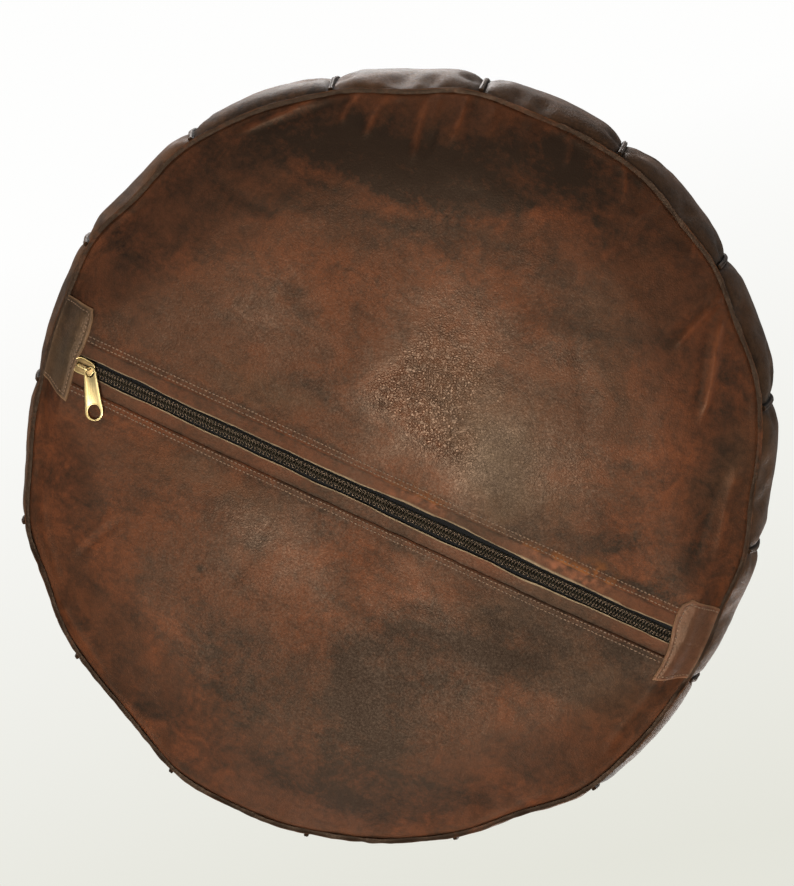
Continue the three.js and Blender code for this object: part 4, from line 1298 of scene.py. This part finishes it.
WAIST = 0.14
POST = [(-6.5, -0.6), (-2.5, -0.3), (-2.5, 0.3), (-6.5, 0.6)]
metal = [
    beveled(*prism(slider_outline(7.5 * MM, 5.8 * MM, WAIST), 7.4 * MM, 8.8 * MM), 0.45 * MM),
    beveled(*prism(slider_outline(7.4 * MM, 5.6 * MM, WAIST), 12.9 * MM, 14.0 * MM), 0.35 * MM),
    beveled(*prism(np.array(POST) * MM, 8.6 * MM, 13.1 * MM), 0.15 * MM),
]
for side in (-1, 1):
    rail = np.array([(-4.5, side * 4.32), (5.6, side * 4.3), (5.6, side * 4.75), (-4.5, side * 4.85)]) * MM
    metal.append(beveled(*prism(rail, 8.4 * MM, 11.3 * MM), 0.25 * MM))
arch = rounded_path(np.array([(-4.6, 0, 7.5), (-4.6, 0, 2.05), (4.6, 0, 2.05), (4.6, 0, 7.5)]) * MM, 2 * MM)
arch = refine(arch[:, None].repeat(2, 1), 2)[:, 0]
bright = [sweep(arch, *directions(arch, [0, 1.0, 0]), oval(0.6 * MM, 0.72 * MM, 14))]
lip = points_at(*slider_outline(7.1 * MM, 5.4 * MM, WAIST).T, 7.35 * MM)
bright.append(sweep(lip, *directions(lip, -UP, True), oval(0.5 * MM, 0.45 * MM, 14), True))
# The body's darker brass is painted shade; the bridge and lip have the pull's pale brass.
for name, parts, metal_look in (("slider_body", metal, dull_brass), ("slider_bridge", bright, pale_brass)):
    verts, faces = joined(parts)
    slider = make_mesh(name, verts + np.array([SLIDER_X, ZIP_Y, 0]), faces, [metal_look], sharp=50)
    finish_piece(slider, "slider", ["zip_slider"])

PULL_HINGE = np.array([-215.157, 23.705, 6.2]) * MM
PULL_AZIMUTH, PULL_PITCH = math.radians(59.7), math.radians(3.5)
# In mm along the pull and across it: its eye on the slider's bridge, and the hole in its tail.
EYE_X, EYE_RADIUS, EYE_HOLE = 3.5, 4.2, (3.2, 3.0)
TAIL_X, TAIL_RADIUS, TAIL_HOLE = 30.3, 6.25, (5.1, 4.3)


def pull_outline():
    lean = math.asin((TAIL_RADIUS - EYE_RADIUS) / (TAIL_X - EYE_X))
    first = np.linspace(math.pi / 2 + lean, 3 * math.pi / 2 - lean, 26)
    second = np.linspace(-math.pi / 2 - lean, math.pi / 2 + lean, 34)
    eye = np.stack([EYE_X + EYE_RADIUS * np.cos(first), EYE_RADIUS * np.sin(first)], 1)
    tail = np.stack([TAIL_X + TAIL_RADIUS * np.cos(second), TAIL_RADIUS * np.sin(second)], 1)
    return np.concatenate([eye, tail]) * MM


def hole_outline(x, half, grow=0.0):
    return (oval(half[0] + grow, half[1] + grow, 40) + (x, 0)) * MM


def plate_with_holes(loops, half_thickness, bevel):
    """A flat plate with holes and rounded edges, through a filled 2D curve."""
    curve = bpy.data.curves.new("plate_outline", "CURVE")
    curve.dimensions = "2D"
    curve.fill_mode = "BOTH"
    curve.extrude = half_thickness - bevel
    curve.bevel_depth = bevel
    curve.bevel_resolution = 3
    curve.offset = -bevel
    for points in loops:
        spline = curve.splines.new("POLY")
        spline.points.add(len(points) - 1)
        spline.points.foreach_set("co", np.pad(points_at(*points.T), ((0, 0), (0, 1)), constant_values=1).ravel())
        spline.use_cyclic_u = True
    holder = bpy.data.objects.new("plate_outline", curve)
    scene.collection.objects.link(holder)
    bpy.context.view_layer.update()
    mesh = bpy.data.meshes.new_from_object(holder.evaluated_get(bpy.context.evaluated_depsgraph_get()))
    bpy.data.objects.remove(holder)
    work = bmesh.new()
    work.from_mesh(mesh)
    bmesh.ops.remove_doubles(work, verts=work.verts, dist=1e-6)
    return mesh_parts(work)


holes = [hole_outline(EYE_X, EYE_HOLE)[::-1], hole_outline(TAIL_X, TAIL_HOLE)[::-1]]
pull_parts = [plate_with_holes([pull_outline(), *holes], 0.6 * MM, 0.28 * MM)]
rim_path = points_at(*hole_outline(TAIL_X, TAIL_HOLE, 0.75).T)
pull_parts.append(sweep(rim_path, *directions(rim_path, UP, True), oval(0.4 * MM, 0.78 * MM, 10), True))
BAR_STEPS = 12
for offset in (-2.2, -0.75, 0.75, 2.2):  # raised bars along the pull
    bar = points_at(np.linspace(10.5, 21.5, BAR_STEPS), np.linspace(offset * 0.82, offset, BAR_STEPS)) * MM
    taper = np.sqrt(np.sin(np.linspace(0.12, math.pi - 0.12, BAR_STEPS)))
    ridge = scaled(oval(0.3 * MM, 0.76 * MM, 10), taper, taper * 0.1 + 0.9)
    pull_parts.append(sweep(bar, *directions(bar, UP), ridge))
verts, faces = joined(pull_parts)
turn = Matrix.Rotation(PULL_AZIMUTH, 3, "Z") @ Matrix.Rotation(PULL_PITCH, 3, "Y")
pull = make_mesh("pull_plate", verts @ np.array(turn).T + PULL_HINGE, faces, [pale_brass], sharp=50)
finish_piece(pull, "pull", ["zip_pull"])
